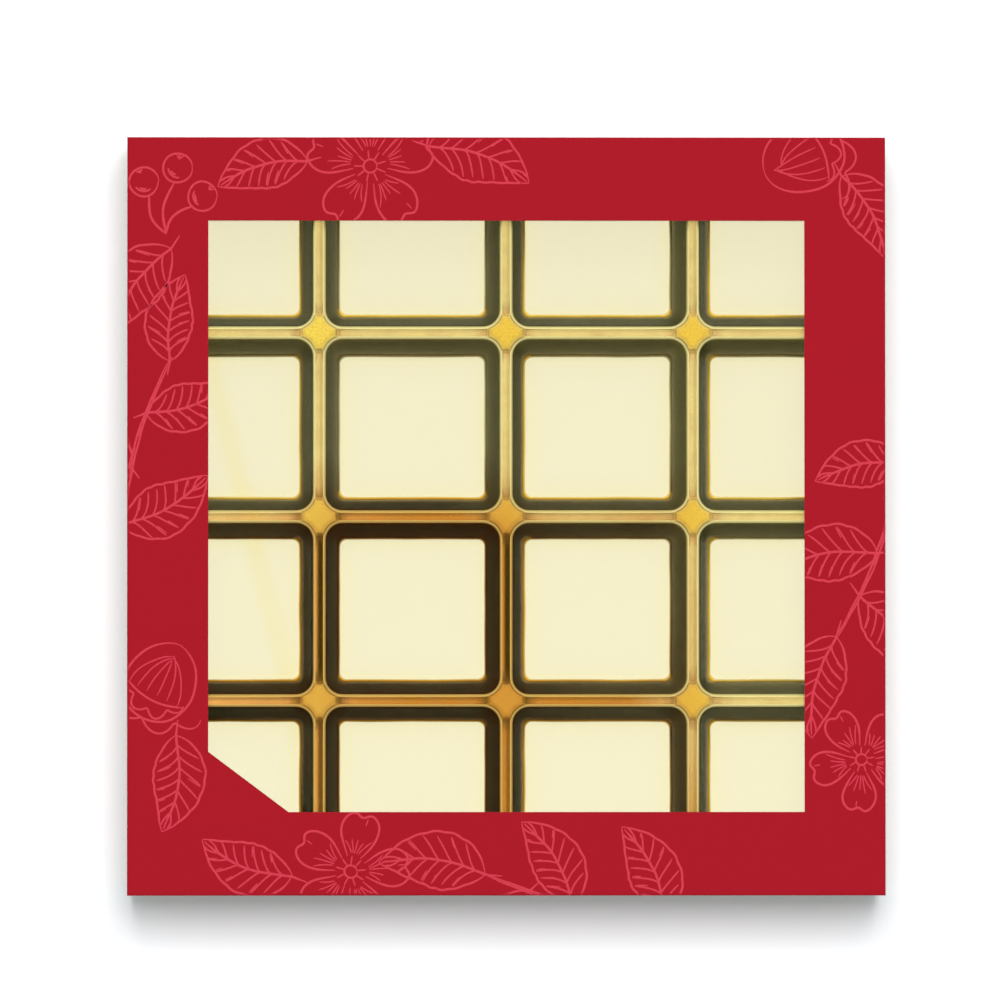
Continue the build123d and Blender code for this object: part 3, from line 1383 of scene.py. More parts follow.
    def nut(self, at: Pair, angle: float, size: float) -> None:
        """Draw a round nut in its frilled husk.

        The nut is an egg, the husk two rows of pointed lobes below it, and the shell's
        lines run from its cap to its tip.

        Args:
            at: The nut's middle.
            angle: Which way its tip points, in degrees.
            size: Its half height.
        """
        turn = np.linspace(0, 2 * math.pi, 44)
        egg = np.stack([size * np.cos(turn), size * (0.86 - 0.1 * np.cos(turn)) * np.sin(turn)], -1)
        self.draw(egg, at, angle)
        across = np.linspace(-1, 1, 16)
        cap = np.stack([-size * (0.5 - 0.18 * across**2), 0.8 * size * across], -1)
        self.draw(cap, at, angle, 0.9)
        u = np.linspace(0, 1, 12)
        for lean in (-0.62, -0.34, -0.08, 0.2, 0.46, 0.7):
            x = size * (-0.36 + 1.2 * u * self.random.uniform(0.7, 0.95))
            y = size * lean * np.cos(u * math.pi / 2) ** 0.7
            self.draw(np.stack([x, y], -1), at, angle, 0.65)
        for row, depth in ((0.95, 1.0), (1.18, 1.35)):
            spread = np.linspace(-1.25, 1.25, 60)
            frill = depth * size * (0.72 + 0.2 * np.abs(np.sin(spread * 4.4)))
            self.draw(np.stack([-frill * np.cos(spread), row * frill * np.sin(spread)], -1), at, angle, 0.9)

    def berries(self, at: Pair, angle: float, size: float) -> None:
        """Draw three berries on forked stalks, each with a glint and a small crown.

        Args:
            at: Where the stalks meet.
            angle: The middle stalk's direction, in degrees.
            size: A berry's radius.
        """
        for lean, reach in ((-34, 3.6), (0, 4.6), (33, 3.9)):
            way = math.radians(angle + lean)
            middle = (at[0] + reach * size * math.cos(way), at[1] + reach * size * math.sin(way))
            self.ring(middle, size)
            self.ring(middle, 0.66 * size, 0.28, angle + lean + 100)
            self.ring(middle, 0.5 * size, 0.16, angle + lean + 120)
            for spoke in (-40, 0, 40):
                tip = polar(np.linspace(0.0, 0.36, 4) * size, math.radians(spoke))
                self.draw(tip + (0.62 * size, 0), middle, angle + lean, 0.7)
            u = np.linspace(0, 1, 14)
            stalk = np.stack([u * (reach - 1) * size, 0.5 * size * np.sin(math.pi * u)], -1)
            self.draw(stalk, at, angle + lean, 1.1)

    def sprig(self, at: Pair, angle: float, length: float, leaves: int, blade: float) -> None:
        """Draw a bent twig with a doubled line, bark ticks and leaves along both sides.

        Args:
            at: Where the twig starts.
            angle: Its direction, in degrees.
            length: Its length.
            leaves: Number of leaves.
            blade: Length of a leaf.
        """
        u = np.linspace(0, 1, 40)
        middle = np.stack([length * u, 0.1 * length * np.sin(2.4 * u)], -1)
        for side in (-1, 1):
            thick = side * np.stack([u * 0, 0.55 * MM * (1 - 0.75 * u)], -1)
            self.draw(middle + thick, at, angle, 0.9)
        for tick in np.linspace(0.06, 0.8, 9):
            short = np.linspace(0, 0.045, 5)
            spot = np.stack([length * (tick + short), 0.1 * length * np.sin(2.4 * (tick + short))], -1)
            self.draw(spot + np.array([0, self.random.uniform(-0.25, 0.25) * MM]), at, angle, 0.6)
        turn = math.radians(angle)
        for number in range(leaves):
            share = 0.22 + 0.76 * number / max(1, leaves - 1)
            x, y = length * share, 0.1 * length * math.sin(2.4 * share)
            foot = (
                at[0] + x * math.cos(turn) - y * math.sin(turn),
                at[1] + x * math.sin(turn) + y * math.cos(turn),
            )
            side = 1 if number % 2 else -1
            lean = 8 if number == leaves - 1 else side * self.random.uniform(42, 58)
            size = blade * self.random.uniform(0.85, 1.1)
            self.leaf(foot, angle + lean, size, 0.26 * size, side * 0.18)


@dataclass
class LidPrint:
    """The line print on the lid: twigs, blossoms, nuts and berries in a lighter red.

    Strokes are clipped at the window and at the walls' free edges, and run on round
    the folds; each becomes a thin flat-topped ribbon of ink.
    """

    carton: Carton
    step: float = 0.4 * MM
    lift: float = 0.012 * MM
    spread: float = 0.012 * MM
    root: float = 0.006 * MM
    margin: float = 0.06 * MM

    def strokes(self) -> list[tuple[Array, float]]:
        """Draw the whole layout on the flat blank: the back edge, then clockwise.

        Returns:
            The strokes as points and widths.
        """
        pen = Pen()
        pen.berries((-70 * MM, 58 * MM), 80, 3.0 * MM)
        pen.leaf((-69 * MM, 55 * MM), 236, 21 * MM, 5.6 * MM, -0.2)
        pen.blossom((-28 * MM, 72 * MM), 13.5 * MM, 18)
        pen.leaf((-16 * MM, 76 * MM), -20, 22 * MM, 5.8 * MM)
        pen.leaf((-41 * MM, 73 * MM), 196, 19 * MM, 5 * MM, -0.2)
        pen.nut((61 * MM, 74 * MM), 205, 8.6 * MM)
        pen.leaf((69 * MM, 70 * MM), -62, 19 * MM, 5 * MM)
        pen.sprig((83 * MM, 22 * MM), 248, 50 * MM, 5, 20 * MM)
        pen.blossom((73 * MM, -50 * MM), 11 * MM, 50)
        pen.sprig((44 * MM, -82 * MM), 166, 50 * MM, 5, 20 * MM)
        pen.blossom((-32 * MM, -73 * MM), 12.5 * MM, 5)
        pen.leaf((-44 * MM, -74 * MM), 158, 20 * MM, 5.2 * MM)
        pen.nut((-71 * MM, -34 * MM), 62, 8.4 * MM)
        pen.leaf((-68 * MM, -45 * MM), 262, 20 * MM, 5.2 * MM)
        pen.sprig((-80 * MM, -12 * MM), 72, 46 * MM, 4, 19 * MM)
        return pen.strokes

    def room(self, place: Array) -> Array:
        """How far inside the printed area a place of the flat blank lies.

        Args:
            place: Points on the flat blank.

        Returns:
            One distance for each, below 0 outside the printed area.
        """
        carton = self.carton
        half = np.array((carton.half_x, carton.half_y)) - carton.fold
        unfolded = half + carton.fold * math.pi / 2 + carton.wall - carton.fold
        to_edge = (unfolded - self.margin - np.abs(place)).min(axis=-1)
        to_corner = (half - np.abs(place)).max(axis=-1)
        to_window = carton.window.outside(place) - self.margin
        return np.minimum(np.minimum(to_edge, to_corner), to_window)

    def runs(self, points: Array) -> list[tuple[Array, Array]]:
        """Cut a stroke to the printed area.

        The stroke is first divided evenly; where it crosses the area's edge, it ends
        at the crossing, found by a straight line between the two nearest points.

        Args:
            points: The stroke's points.

        Returns:
            The points of each stretch that is left, and its share along the stroke.
        """
        length = distances_along(points)
        count = max(4, int(length[-1] / self.step) + 1)
        even = np.linspace(0, length[-1], count)
        place = np.stack([np.interp(even, length, points[:, axis]) for axis in (0, 1)], -1)
        share = even / length[-1]
        room = self.room(place)
        good = room > 0
        marks = np.flatnonzero(np.diff(np.concatenate([[0], good.astype(int), [0]])))
        found = []
        for first, end in marks.reshape(-1, 2):
            stretch, parts = place[first:end], share[first:end]
            if first > 0:
                cross = room[first] / (room[first] - room[first - 1])
                stretch = np.vstack([place[first] + (place[first - 1] - place[first]) * cross, stretch])
                parts = np.concatenate([[share[first]], parts])
            if end < count:
                cross = room[end - 1] / (room[end - 1] - room[end])
                stretch = np.vstack([stretch, place[end - 1] + (place[end] - place[end - 1]) * cross])
                parts = np.concatenate([parts, [share[end - 1]]])
            if len(stretch) > 2:
                found.append((stretch, parts))
        return found

    def held_in(self, middle: Array, spot: Array) -> Array:
        """Draw spots that lie off the printed area back towards their middles.

        Args:
            middle: Points inside the area.
            spot: Points beside them.

        Returns:
            The spots, no farther out than the area's edge.
        """
        inside, here = self.room(middle), self.room(spot)
        reach = np.where(here < 0, inside / np.maximum(inside - here, 1e-9), 1.0)
        return middle + (spot - middle) * np.clip(reach, 0, 1)[:, None]

    def ribbon(self, place: Array, share: Array, width: float, lift: float) -> Surface:
        """Make a ribbon of ink along a stretch, thinner towards the stroke's ends.

        Its section is a low four-cornered bank: wide at its foot, a little narrower on
        top, carried along the stretch on the lid's face and closed at both ends.

        Args:
            place: The stretch's points on the flat blank.
            share: Their shares along the whole stroke.
            width: The ribbon's full width.
            lift: How far its top stands off the lid's face.

        Returns:
            The closed surface.
        """
        ahead = np.gradient(place, axis=0)
        side = np.stack([-ahead[:, 1], ahead[:, 0]], -1)
        side /= np.maximum(np.linalg.norm(side, axis=1, keepdims=True), 1e-12)
        press = 0.45 + 0.55 * np.clip(np.sin(math.pi * share) * 2.2, 0, 1)
        half = (width / 2 * press)[:, None]
        corners = []
        for reach, height in ((-1.0, -self.root), (-0.8, lift), (0.8, lift), (1.0, -self.root)):
            spot = self.held_in(place, place + side * half * reach)
            corners.append(self.carton.wrap(spot, height)[0])
        points = np.stack(corners, axis=1)
        rows = len(points)
        faces = grid_faces(rows, 4, False, True)
        ends = np.array([[3, 2, 1, 0], [4 * rows - 4, 4 * rows - 3, 4 * rows - 2, 4 * rows - 1]])
        faces = np.concatenate([faces, ends])
        return Surface(points.reshape(-1, 3), faces, np.zeros(len(faces)))

    def build(self, ink: Material) -> Piece:
        """Make the print's mesh and dress it.

        Args:
            ink: The ink's material.

        Returns:
            The piece.
        """
        ribbons = [
            self.ribbon(place, share, width, self.lift + self.spread * (number * 0.618 % 1))
            for number, (points, width) in enumerate(self.strokes())
            for place, share in self.runs(points)
        ]
        LOG.info("print: %d ribbons of ink", len(ribbons))
        return make_piece("lid_print", joined(ribbons), [ink], crease=50)


@dataclass
class WindowFilm:
    """The clear film under the window: flat where it is glued, lightly buckled inside."""

    low: Vector
    high: Vector
    window: Window
    corner: float = 2 * MM
    buckle: float = 0.14 * MM
    swell: float = 0.25
    swell_x: float = 17 * MM
    swell_y: float = 21 * MM
    edge_fade: Pair = (1 * MM, 9 * MM)
    fold_x: float = -52.3 * MM
    fold_lean: float = 0.25
    fold_width: float = 1.7 * MM
    mirror_shift: float = 14 * MM
    cells: int = 150

    def buckles(self, place: Array) -> Array:
        """How far the film stands up from its plane.

        A long fold near the left side, a weaker one that mirrors it on the right and a
        slow swell in the middle, all fading out at the window's edge.

        Args:
            place: Points in plan.

        Returns:
            One height for each.
        """
        x, y = place[..., 0], place[..., 1]
        heights = self.swell * np.sin(x / self.swell_x + 0.7) * np.cos(y / self.swell_y)
        mirrored = self.fold(place * (-1, 1) + (self.mirror_shift, 0))
        inside = smooth_step(*self.edge_fade, -self.window.outside(place))
        return self.buckle * (heights + self.fold(place) - 0.5 * mirrored) * inside

    def fold(self, place: Array) -> Array:
        """How near places lie to the film's long fold, from 0 to 1.

        A bell curve across a straight line that leans to the left towards the back.

        Args:
            place: Points in plan.

        Returns:
            One share for each.
        """
        across = (place[..., 0] + self.fold_lean * place[..., 1] - self.fold_x) / self.fold_width
        return np.exp(-(across**2))

    def surface(self) -> Surface:
        """Work out both faces of the film and the strip round its edge.

        The plan is an even grid whose square corners are drawn in to a circle; the
        upper and lower face are the same buckled sheet, a film's thickness apart.

        Returns:
            The closed surface.
        """
        share = np.linspace(-1, 1, self.cells)
        across, along = np.meshgrid(share, share, indexing="ij")
        half = np.array((self.high.x - self.low.x, self.high.y - self.low.y)) / 2
        place = np.stack([across * half[0], along * half[1]], -1)
        core = half - self.corner
        over = np.clip(np.abs(place) - core, 0, None)
        reach = np.maximum(np.linalg.norm(over, axis=-1, keepdims=True), 1e-12)
        drawn_in = over * over.max(axis=-1, keepdims=True) / reach
        place = np.sign(place) * (np.minimum(np.abs(place), core) + drawn_in)
        top = np.concatenate([place, (self.high.z + self.buckles(place))[..., None]], -1)
        bottom = top - (0, 0, self.high.z - self.low.z)
        faces = grid_faces(self.cells, self.cells, False, False)
        count = self.cells**2
        edge = self.border()
        strip = np.stack([edge, edge + count, np.roll(edge, -1) + count, np.roll(edge, -1)], -1)
        points = np.concatenate([top.reshape(-1, 3), bottom.reshape(-1, 3)])
        faces = np.concatenate([faces, faces[:, ::-1] + count, strip])
        fold = self.fold(points[:, :2])
        return outward(Surface(points, faces, np.zeros(len(faces)), {"fold": fold}))

    def border(self) -> Array:
        """Walk once round the grid's edge.

        Returns:
            The numbers of its outer points, in order.
        """
        n = self.cells
        numbers = np.arange(n * n).reshape(n, n)
        return np.concatenate([numbers[0, :-1], numbers[:-1, -1], numbers[-1, :0:-1], numbers[:0:-1, 0]])

    def build(self, clear: Material) -> Piece:
        """Make the film's mesh and dress it.

        Args:
            clear: The film's material.

        Returns:
            The piece.
        """
        return make_piece("clear_window", self.surface(), [clear], crease=60)


@dataclass
class CavityTray:
    """The formed gold tray: rims, ridges, star-shaped pads and sixteen tapering cups.

    Every cup is a set of rings about its middle. A ring's four corners are arcs about
    fixed centres and its sides are straight; the rings go from the cell's edge, on
    the middle of the ridges, over the rounded mouth, down the wall, round the floor's
    edge and in to the middle of the floor. The floor's rings are given as share of
    the floor's size, share of its bulge and draw value.
    """

    low: Vector
    high: Vector
    across: int = 4
    along: int = 4
    pitch_x: float = 38.5 * MM
    pitch_y: float = 37.9 * MM
    ridge: float = 2.6 * MM
    floor_x: float = 29.9 * MM
    floor_y: float = 29.0 * MM
    mouth_round: float = 3.5 * MM
    floor_round: float = 1.5 * MM
    sheet: float = 0.4 * MM
    rim_round: float = 0.55 * MM
    hem_round: float = 0.45 * MM
    pad_rise: float = 0.3 * MM
    pad_inset: float = 0.75 * MM
    pad_reach: float = 3.4 * MM
    pad_edge: float = 1.7 * MM
    groove: float = 0.03 * MM
    groove_shift: float = 0.45 * MM
    groove_width: float = 0.33 * MM
    groove_start: Pair = (2.2 * MM, 3.4 * MM)
    # deep and last_row: where the grooves and their painted shade are fullest, and where that eases off in
    # the front row
    deep_x: Pair = (28 * MM, 8 * MM)
    deep_y: Pair = (2 * MM, -4 * MM)
    last_row_x: Pair = (-30 * MM, -8 * MM)
    last_row_y: Pair = (-30 * MM, -46 * MM)
    dip: float = 0.1 * MM
    dip_away: float = 0.7 * MM
    dip_width: float = 0.9 * MM
    dip_side: Pair = (1.0 * MM, 0.5 * MM)
    # where the painted reflection at the walls' feet is aimed from, and how it spreads
    glow_x: float = -33 * MM
    glow_y: float = -38 * MM
    glow_along: float = 0.5
    glow_near: Pair = (-3 * MM, 10 * MM)
    glow_far: Pair = (10 * MM, 80 * MM)
    glow_near_share: float = 0.45
    tray_corner: float = 3.0 * MM
    unevenness: float = 0.08 * MM
    bulge: float = 0.05 * MM
    collar: Pair = (0.66 * MM, 0.56 * MM)
    ridge_shares: tuple[float, ...] = (0.12, 0.24, 0.36, 0.5, 0.65, 0.82)
    floor_rings: tuple[tuple[float, float, float], ...] = (
        (0.93, 0.2, 3.3),
        (0.8, 0.5, 3.5),
        (0.55, 0.85, 3.7),
        (0.25, 1.0, 3.9),
        (0.0, 1.0, 4.0),
    )
    arc_steps: int = 18
    side_stops: tuple[float, ...] = (0.06, 0.16, 0.33, 0.5, 0.67, 0.84, 0.94)

    @property
    def top(self) -> float:
        """Height of the ridges' upper face."""
        return self.high.z - self.pad_rise

    @property
    def floor(self) -> float:
        """Height of the floors' upper face."""
        return self.low.z + self.sheet

    @property
    def pitch(self) -> Array:
        """The cells' spacing in x and y."""
        return np.array((self.pitch_x, self.pitch_y))

    @property
    def mouth(self) -> Array:
        """Half the cups' width and length at their mouths."""
        return (self.pitch - self.ridge) / 2

    @property
    def foot_run(self) -> float:
        """How far in from the mouth the wall would meet the level floor.

        The floor's rounded edge lies outside the flat floor, so the two planes meet
        one rounding's setback, radius times tan(half the turn), outside it.

        Returns:
            The distance in plan.
        """
        run = self.mouth[0] - self.floor_x / 2
        slope = math.atan2(self.top - self.floor, run)
        return run - self.hem_round * math.tan(slope / 2)

    def section(self) -> Array:
        """The wall's section, from the ridge over the mouth's rim down to the floor.

        Two circles round off the corners between the level ridge, the sloping wall and
        the level floor; each leaves its corner by radius times tan(half the turn).

        Returns:
            Rows of share of the way from the mouth's outline to the floor's, height,
            and draw value.
        """
        drop = self.top - self.floor
        run = self.foot_run
        slope = math.atan2(drop, run)
        rows = []
        for radius, sign, corner, values in (
            (self.rim_round, 1, (0.0, self.top), (0.8, 1.2)),
            (self.hem_round, -1, (run, self.floor), (2.7, 3.1)),
        ):
            back = radius * math.tan(slope / 2)
            turn = np.linspace(0, slope, 8)
            if sign > 0:
                x = corner[0] - back + radius * np.sin(turn)
                z = corner[1] - radius * (1 - np.cos(turn))
            else:
                x = corner[0] + back - radius * np.sin(slope - turn)
                z = corner[1] + radius * (1 - np.cos(slope - turn))
            rows.append(np.stack([x / run, z, np.linspace(*values, 8)], -1))
        share = np.linspace(0, 1, 8)[1:-1, None]
        wall = rows[0][-1] * (1 - share) + rows[1][0] * share
        return np.concatenate([rows[0], wall, rows[1]])

    def ring_walk(self) -> tuple[Array, Array, Array]:
        """One walk round a ring, in arcs and sides.

        Returns:
            For each point the signs of its corner's x and y, its direction from the
            corner's centre, and its run along the side that follows, from 0 at the
            arc's end to twice the corner's sign at the next arc.
        """
        sides = np.array(self.side_stops)
        arc = np.linspace(0, math.pi / 2, self.arc_steps + 1)
        angle = np.tile(np.concatenate([arc, np.full(len(sides), math.pi / 2)]), 4)
        share = np.tile(np.concatenate([arc * 0, sides]), 4)[:, None]
        quarter = np.repeat(np.arange(4), len(arc) + len(sides))
        sign = np.array([(1, 1), (-1, 1), (-1, -1), (1, -1)])[quarter]
        run = 2 * share * sign * np.array([(1, 0), (0, 1)])[quarter % 2]
        return sign, polar(1.0, quarter * math.pi / 2 + angle), run

    def outline(self, half: Array, corner: Array) -> Array:
        """Rounded rectangles about the origin, one for each row of sizes.

        Args:
            half: Half widths and lengths, one pair for each ring.
            corner: Corner radii.

        Returns:
            Points in plan, ring by ring.
        """
        sign, ray, run = self.ring_walk()
        inner = (half - corner[:, None])[:, None]
        return (sign - run) * inner + corner[:, None, None] * ray

    def edge_ring(self, column: int, row: int) -> Array:
        """The cell's outermost ring: the ridges' middles, or the tray's own edge.

        Rays from the four arcs' centres meet the cell's straight edges; at the tray's
        outer corners they stop at its rounded corner.

        Args:
            column: The cell's column.
            row: The cell's row.

        Returns:
            Points in plan about the cell's middle.
        """
        sign, ray, run = self.ring_walk()
        ray = np.abs(ray)
        centre = self.mouth - self.mouth_round
        edge = np.abs(sign * (self.high.x, self.high.y) - self.cell_middle(column, row))
        limit = np.minimum(self.pitch / 2, edge)
        reach = limit - centre
        distance = (reach / np.maximum(ray, 1e-9)).min(axis=-1)
        outer = np.isclose(limit, edge).all(axis=-1) & (run == 0).all(axis=-1)
        pivot = reach - self.tray_corner
        along = (ray * pivot).sum(-1)
        inside = along**2 - (pivot**2).sum(-1) + self.tray_corner**2
        rounded = along + np.sqrt(np.maximum(inside, 0))
        beyond = (ray * distance[:, None] > pivot).all(axis=-1)
        distance = np.where(outer & beyond, np.minimum(distance, rounded), distance)
        return sign * (centre + ray * distance[:, None]) - run * centre

    def cell_middle(self, column: int, row: int) -> Array:
        """Where a cell's middle lies in plan."""
        return (np.array((column, row)) - np.array((self.across - 1, self.along - 1)) / 2) * self.pitch

    def star(self, place: Array) -> Array:
        """How much of a star-shaped pad lies at each place, from 0 to 1.

        A pad is a square of the pad's reach about a crossing, less four circles about
        the centres of the neighbouring mouths' corner arcs, with a soft edge.

        Args:
            place: Points in plan.

        Returns:
            The pad's share there.
        """
        half_count = np.array((self.across, self.along)) / 2
        shift = half_count % 1
        number = np.round(place / self.pitch + shift) - shift
        real = (np.abs(number) < half_count - 0.5).all(axis=-1)
        away = np.abs(place - number * self.pitch)
        corner = self.ridge / 2 + self.mouth_round
        hollow = np.linalg.norm(away - corner, axis=-1) - (self.mouth_round + self.pad_inset)
        arm = self.pad_reach - away.max(axis=-1)
        return smooth_step(-self.pad_edge / 2, self.pad_edge / 2, np.minimum(hollow, arm)) * real

    def ridge_form(self, place: Array) -> tuple[Array, Array, Array, Array]:
        """The height of the rims, ridges and pads, and the shares of their parts.

        A shallow groove runs along each ridge, right of the middle or behind it, as a
        bell curve, wider and fuller on the upright ridges in front of the middle at the
        left; a dip lies where a ridge meets a pad, and the pads stand up. The groove and
        dip shares also say where the gold is darkened by painted shade.

        Args:
            place: Points in plan.

        Returns:
            Heights, and the shares of pad, groove and dip at each place.
        """
        offset = (place / self.pitch - np.round(place / self.pitch)) * self.pitch
        away = np.abs(offset)
        nearest, farthest = away.min(axis=-1), away.max(axis=-1)
        upright = away[..., 0] < away[..., 1]
        signed = np.where(upright, offset[..., 0], offset[..., 1])
        pad = self.star(place)
        x, y = place[..., 0], place[..., 1]
        last_row = smooth_step(*self.last_row_y, y) * (0.3 + 0.4 * smooth_step(*self.last_row_x, x))
        # painted shade: deep is fullest at the front left and less in the front row
        deep = upright * smooth_step(*self.deep_y, y) * smooth_step(*self.deep_x, x) * (1 - last_row)
        width = self.groove_width * (1 + 1.1 * deep)
        across = np.abs(signed - self.groove_shift * (1 - 0.4 * deep)) / width
        bell = np.exp(-(across ** (2 + 2 * deep)))
        on_ridge = smooth_step(*self.groove_start, farthest)
        groove = bell * on_ridge * (1 - pad) * (0.42 + 0.58 * deep)
        beside = np.exp(-(((farthest - self.pad_reach - self.dip_away) / self.dip_width) ** 2))
        dip = beside * smooth_step(*self.dip_side, nearest) * (1 - pad)
        height = self.top - self.groove * groove - self.dip * dip + self.pad_rise * pad
        return height, pad, groove, dip

    def wander(self, place: Array) -> Array:
        """A slow sideways drift of the sheet, different from cup to cup.

        Sums of sines of x and y, at most the tray's unevenness.

        Args:
            place: Points in plan.

        Returns:
            Shifts in x and y.
        """
        x, y = place[..., 0] / MM, place[..., 1] / MM
        shift_x = np.sin(0.21 * x + 0.9) * np.cos(0.34 * y) + 0.5 * np.sin(0.55 * y + 0.08 * x)
        shift_y = np.cos(0.27 * y - 0.4) * np.sin(0.31 * x + 0.5) + 0.5 * np.cos(0.5 * x - 0.1 * y)
        return self.unevenness / 1.5 * np.stack([shift_x, shift_y], -1)

    def glow(self, wall: Array, middle: Array) -> Array:
        """How far down the wall the painted reflection at its foot reaches, from 0 to 1, for the points of
        a cup.

        Walls that face away from one point over the tray get it, more the farther
        off they are: the near share at first and 1 at last, twice as far off along y.

        Args:
            wall: The wall's points about the cell's middle, ring by ring.
            middle: The cell's middle.

        Returns:
            One share for each point.
        """
        across = np.abs(wall) / np.abs(wall).max(axis=1, keepdims=True)
        beyond = wall + middle - (self.glow_x, self.glow_y)
        distance = -np.sign(wall) * beyond
        near = self.glow_near_share * smooth_step(*self.glow_near, distance)
        far = smooth_step(*self.glow_far, distance * (1, self.glow_along))
        share = near + (1 - self.glow_near_share) * far
        return (share * smooth_step(0.86, 0.98, across)).max(axis=-1)

    def cup(self, column: int, row: int) -> Surface:
        """One cell of the sheet's upper face, from ring to ring.

        Args:
            column: The cell's column.
            row: The cell's row.

        Returns:
            The open surface, facing up.
        """
        middle = self.cell_middle(column, row)
        mouth = self.mouth
        flat = np.array((self.floor_x, self.floor_y)) / 2
        foot = flat + (mouth - flat)[0] - self.foot_run
        section = self.section()
        share = section[:, 0]
        size = mouth + (foot - mouth) * share[:, None]
        outside = np.clip(-share, 0, None) * (mouth - foot).mean()
        corner = self.mouth_round + (self.floor_round - self.mouth_round) * np.clip(share, 0, 1) + outside
        wall = self.outline(size, corner)
        collar = np.array(self.collar)
        collar_rings = self.outline(mouth + collar[:, None], self.mouth_round + collar)
        edge = self.edge_ring(column, row)[None]
        between = np.array(self.ridge_shares)[:, None, None]
        outer = edge * (1 - between) + collar_rings[:1] * between
        inward, bulge, floor_draw = np.array(self.floor_rings).T
        last = size[-1] * inward[:, None]
        floor = self.outline(last, np.minimum(corner[-1], last.min(axis=1)) * inward)
        plan = np.concatenate([edge, outer, collar_rings, wall, floor]) + middle
        level = len(edge) + len(outer) + len(collar_rings)
        depth_share = np.concatenate([np.zeros(level), np.clip(share * 1.3, 0, 1), np.ones(len(floor))])
        form = self.ridge_form(plan[:level])
        below = np.concatenate([section[:, 1], section[-1, 1] + self.bulge * bulge])
        columns = plan.shape[1]
        heights = np.concatenate([form[0], np.repeat(below[:, None], columns, 1)])
        glow = np.zeros((len(plan), columns))
        glow[level : level + len(wall)] = self.glow(wall, middle)
        plan = plan + self.wander(plan) * depth_share[:, None, None]
        points = np.concatenate([plan, heights[..., None]], -1)
        draws = np.concatenate([np.linspace(0, 0.7, level), section[:, 2], floor_draw])
        values = {"draw": np.repeat(draws, columns), "glow": glow.reshape(-1)}
        for name, part in zip(("pad", "groove", "dip"), form[1:]):
            values[name] = np.concatenate([part.reshape(-1), np.zeros(len(below) * columns)])
        faces = grid_faces(len(plan), columns, False, True)
        return Surface(points.reshape(-1, 3), faces, np.zeros(len(faces)), values)

    def build(self, gold: Material, under: Material) -> Piece:
        """Make the tray's mesh, give the sheet its thickness and dress it.

        Args:
            gold: The upper face's material.
            under: The underside's material.

        Returns:
            The piece.
        """
        cups = [self.cup(column, row) for column in range(self.across) for row in range(self.along)]
        piece = make_piece("formed_tray", joined(cups), [gold, under], weld=0.002 * MM, crease=70)
        solid = piece.modifiers.new("sheet", "SOLIDIFY")
        solid.thickness = self.sheet
        solid.offset = -1.0
        solid.use_even_offset = solid.use_quality_normals = True
        solid.material_offset = solid.material_offset_rim = 1
        return piece


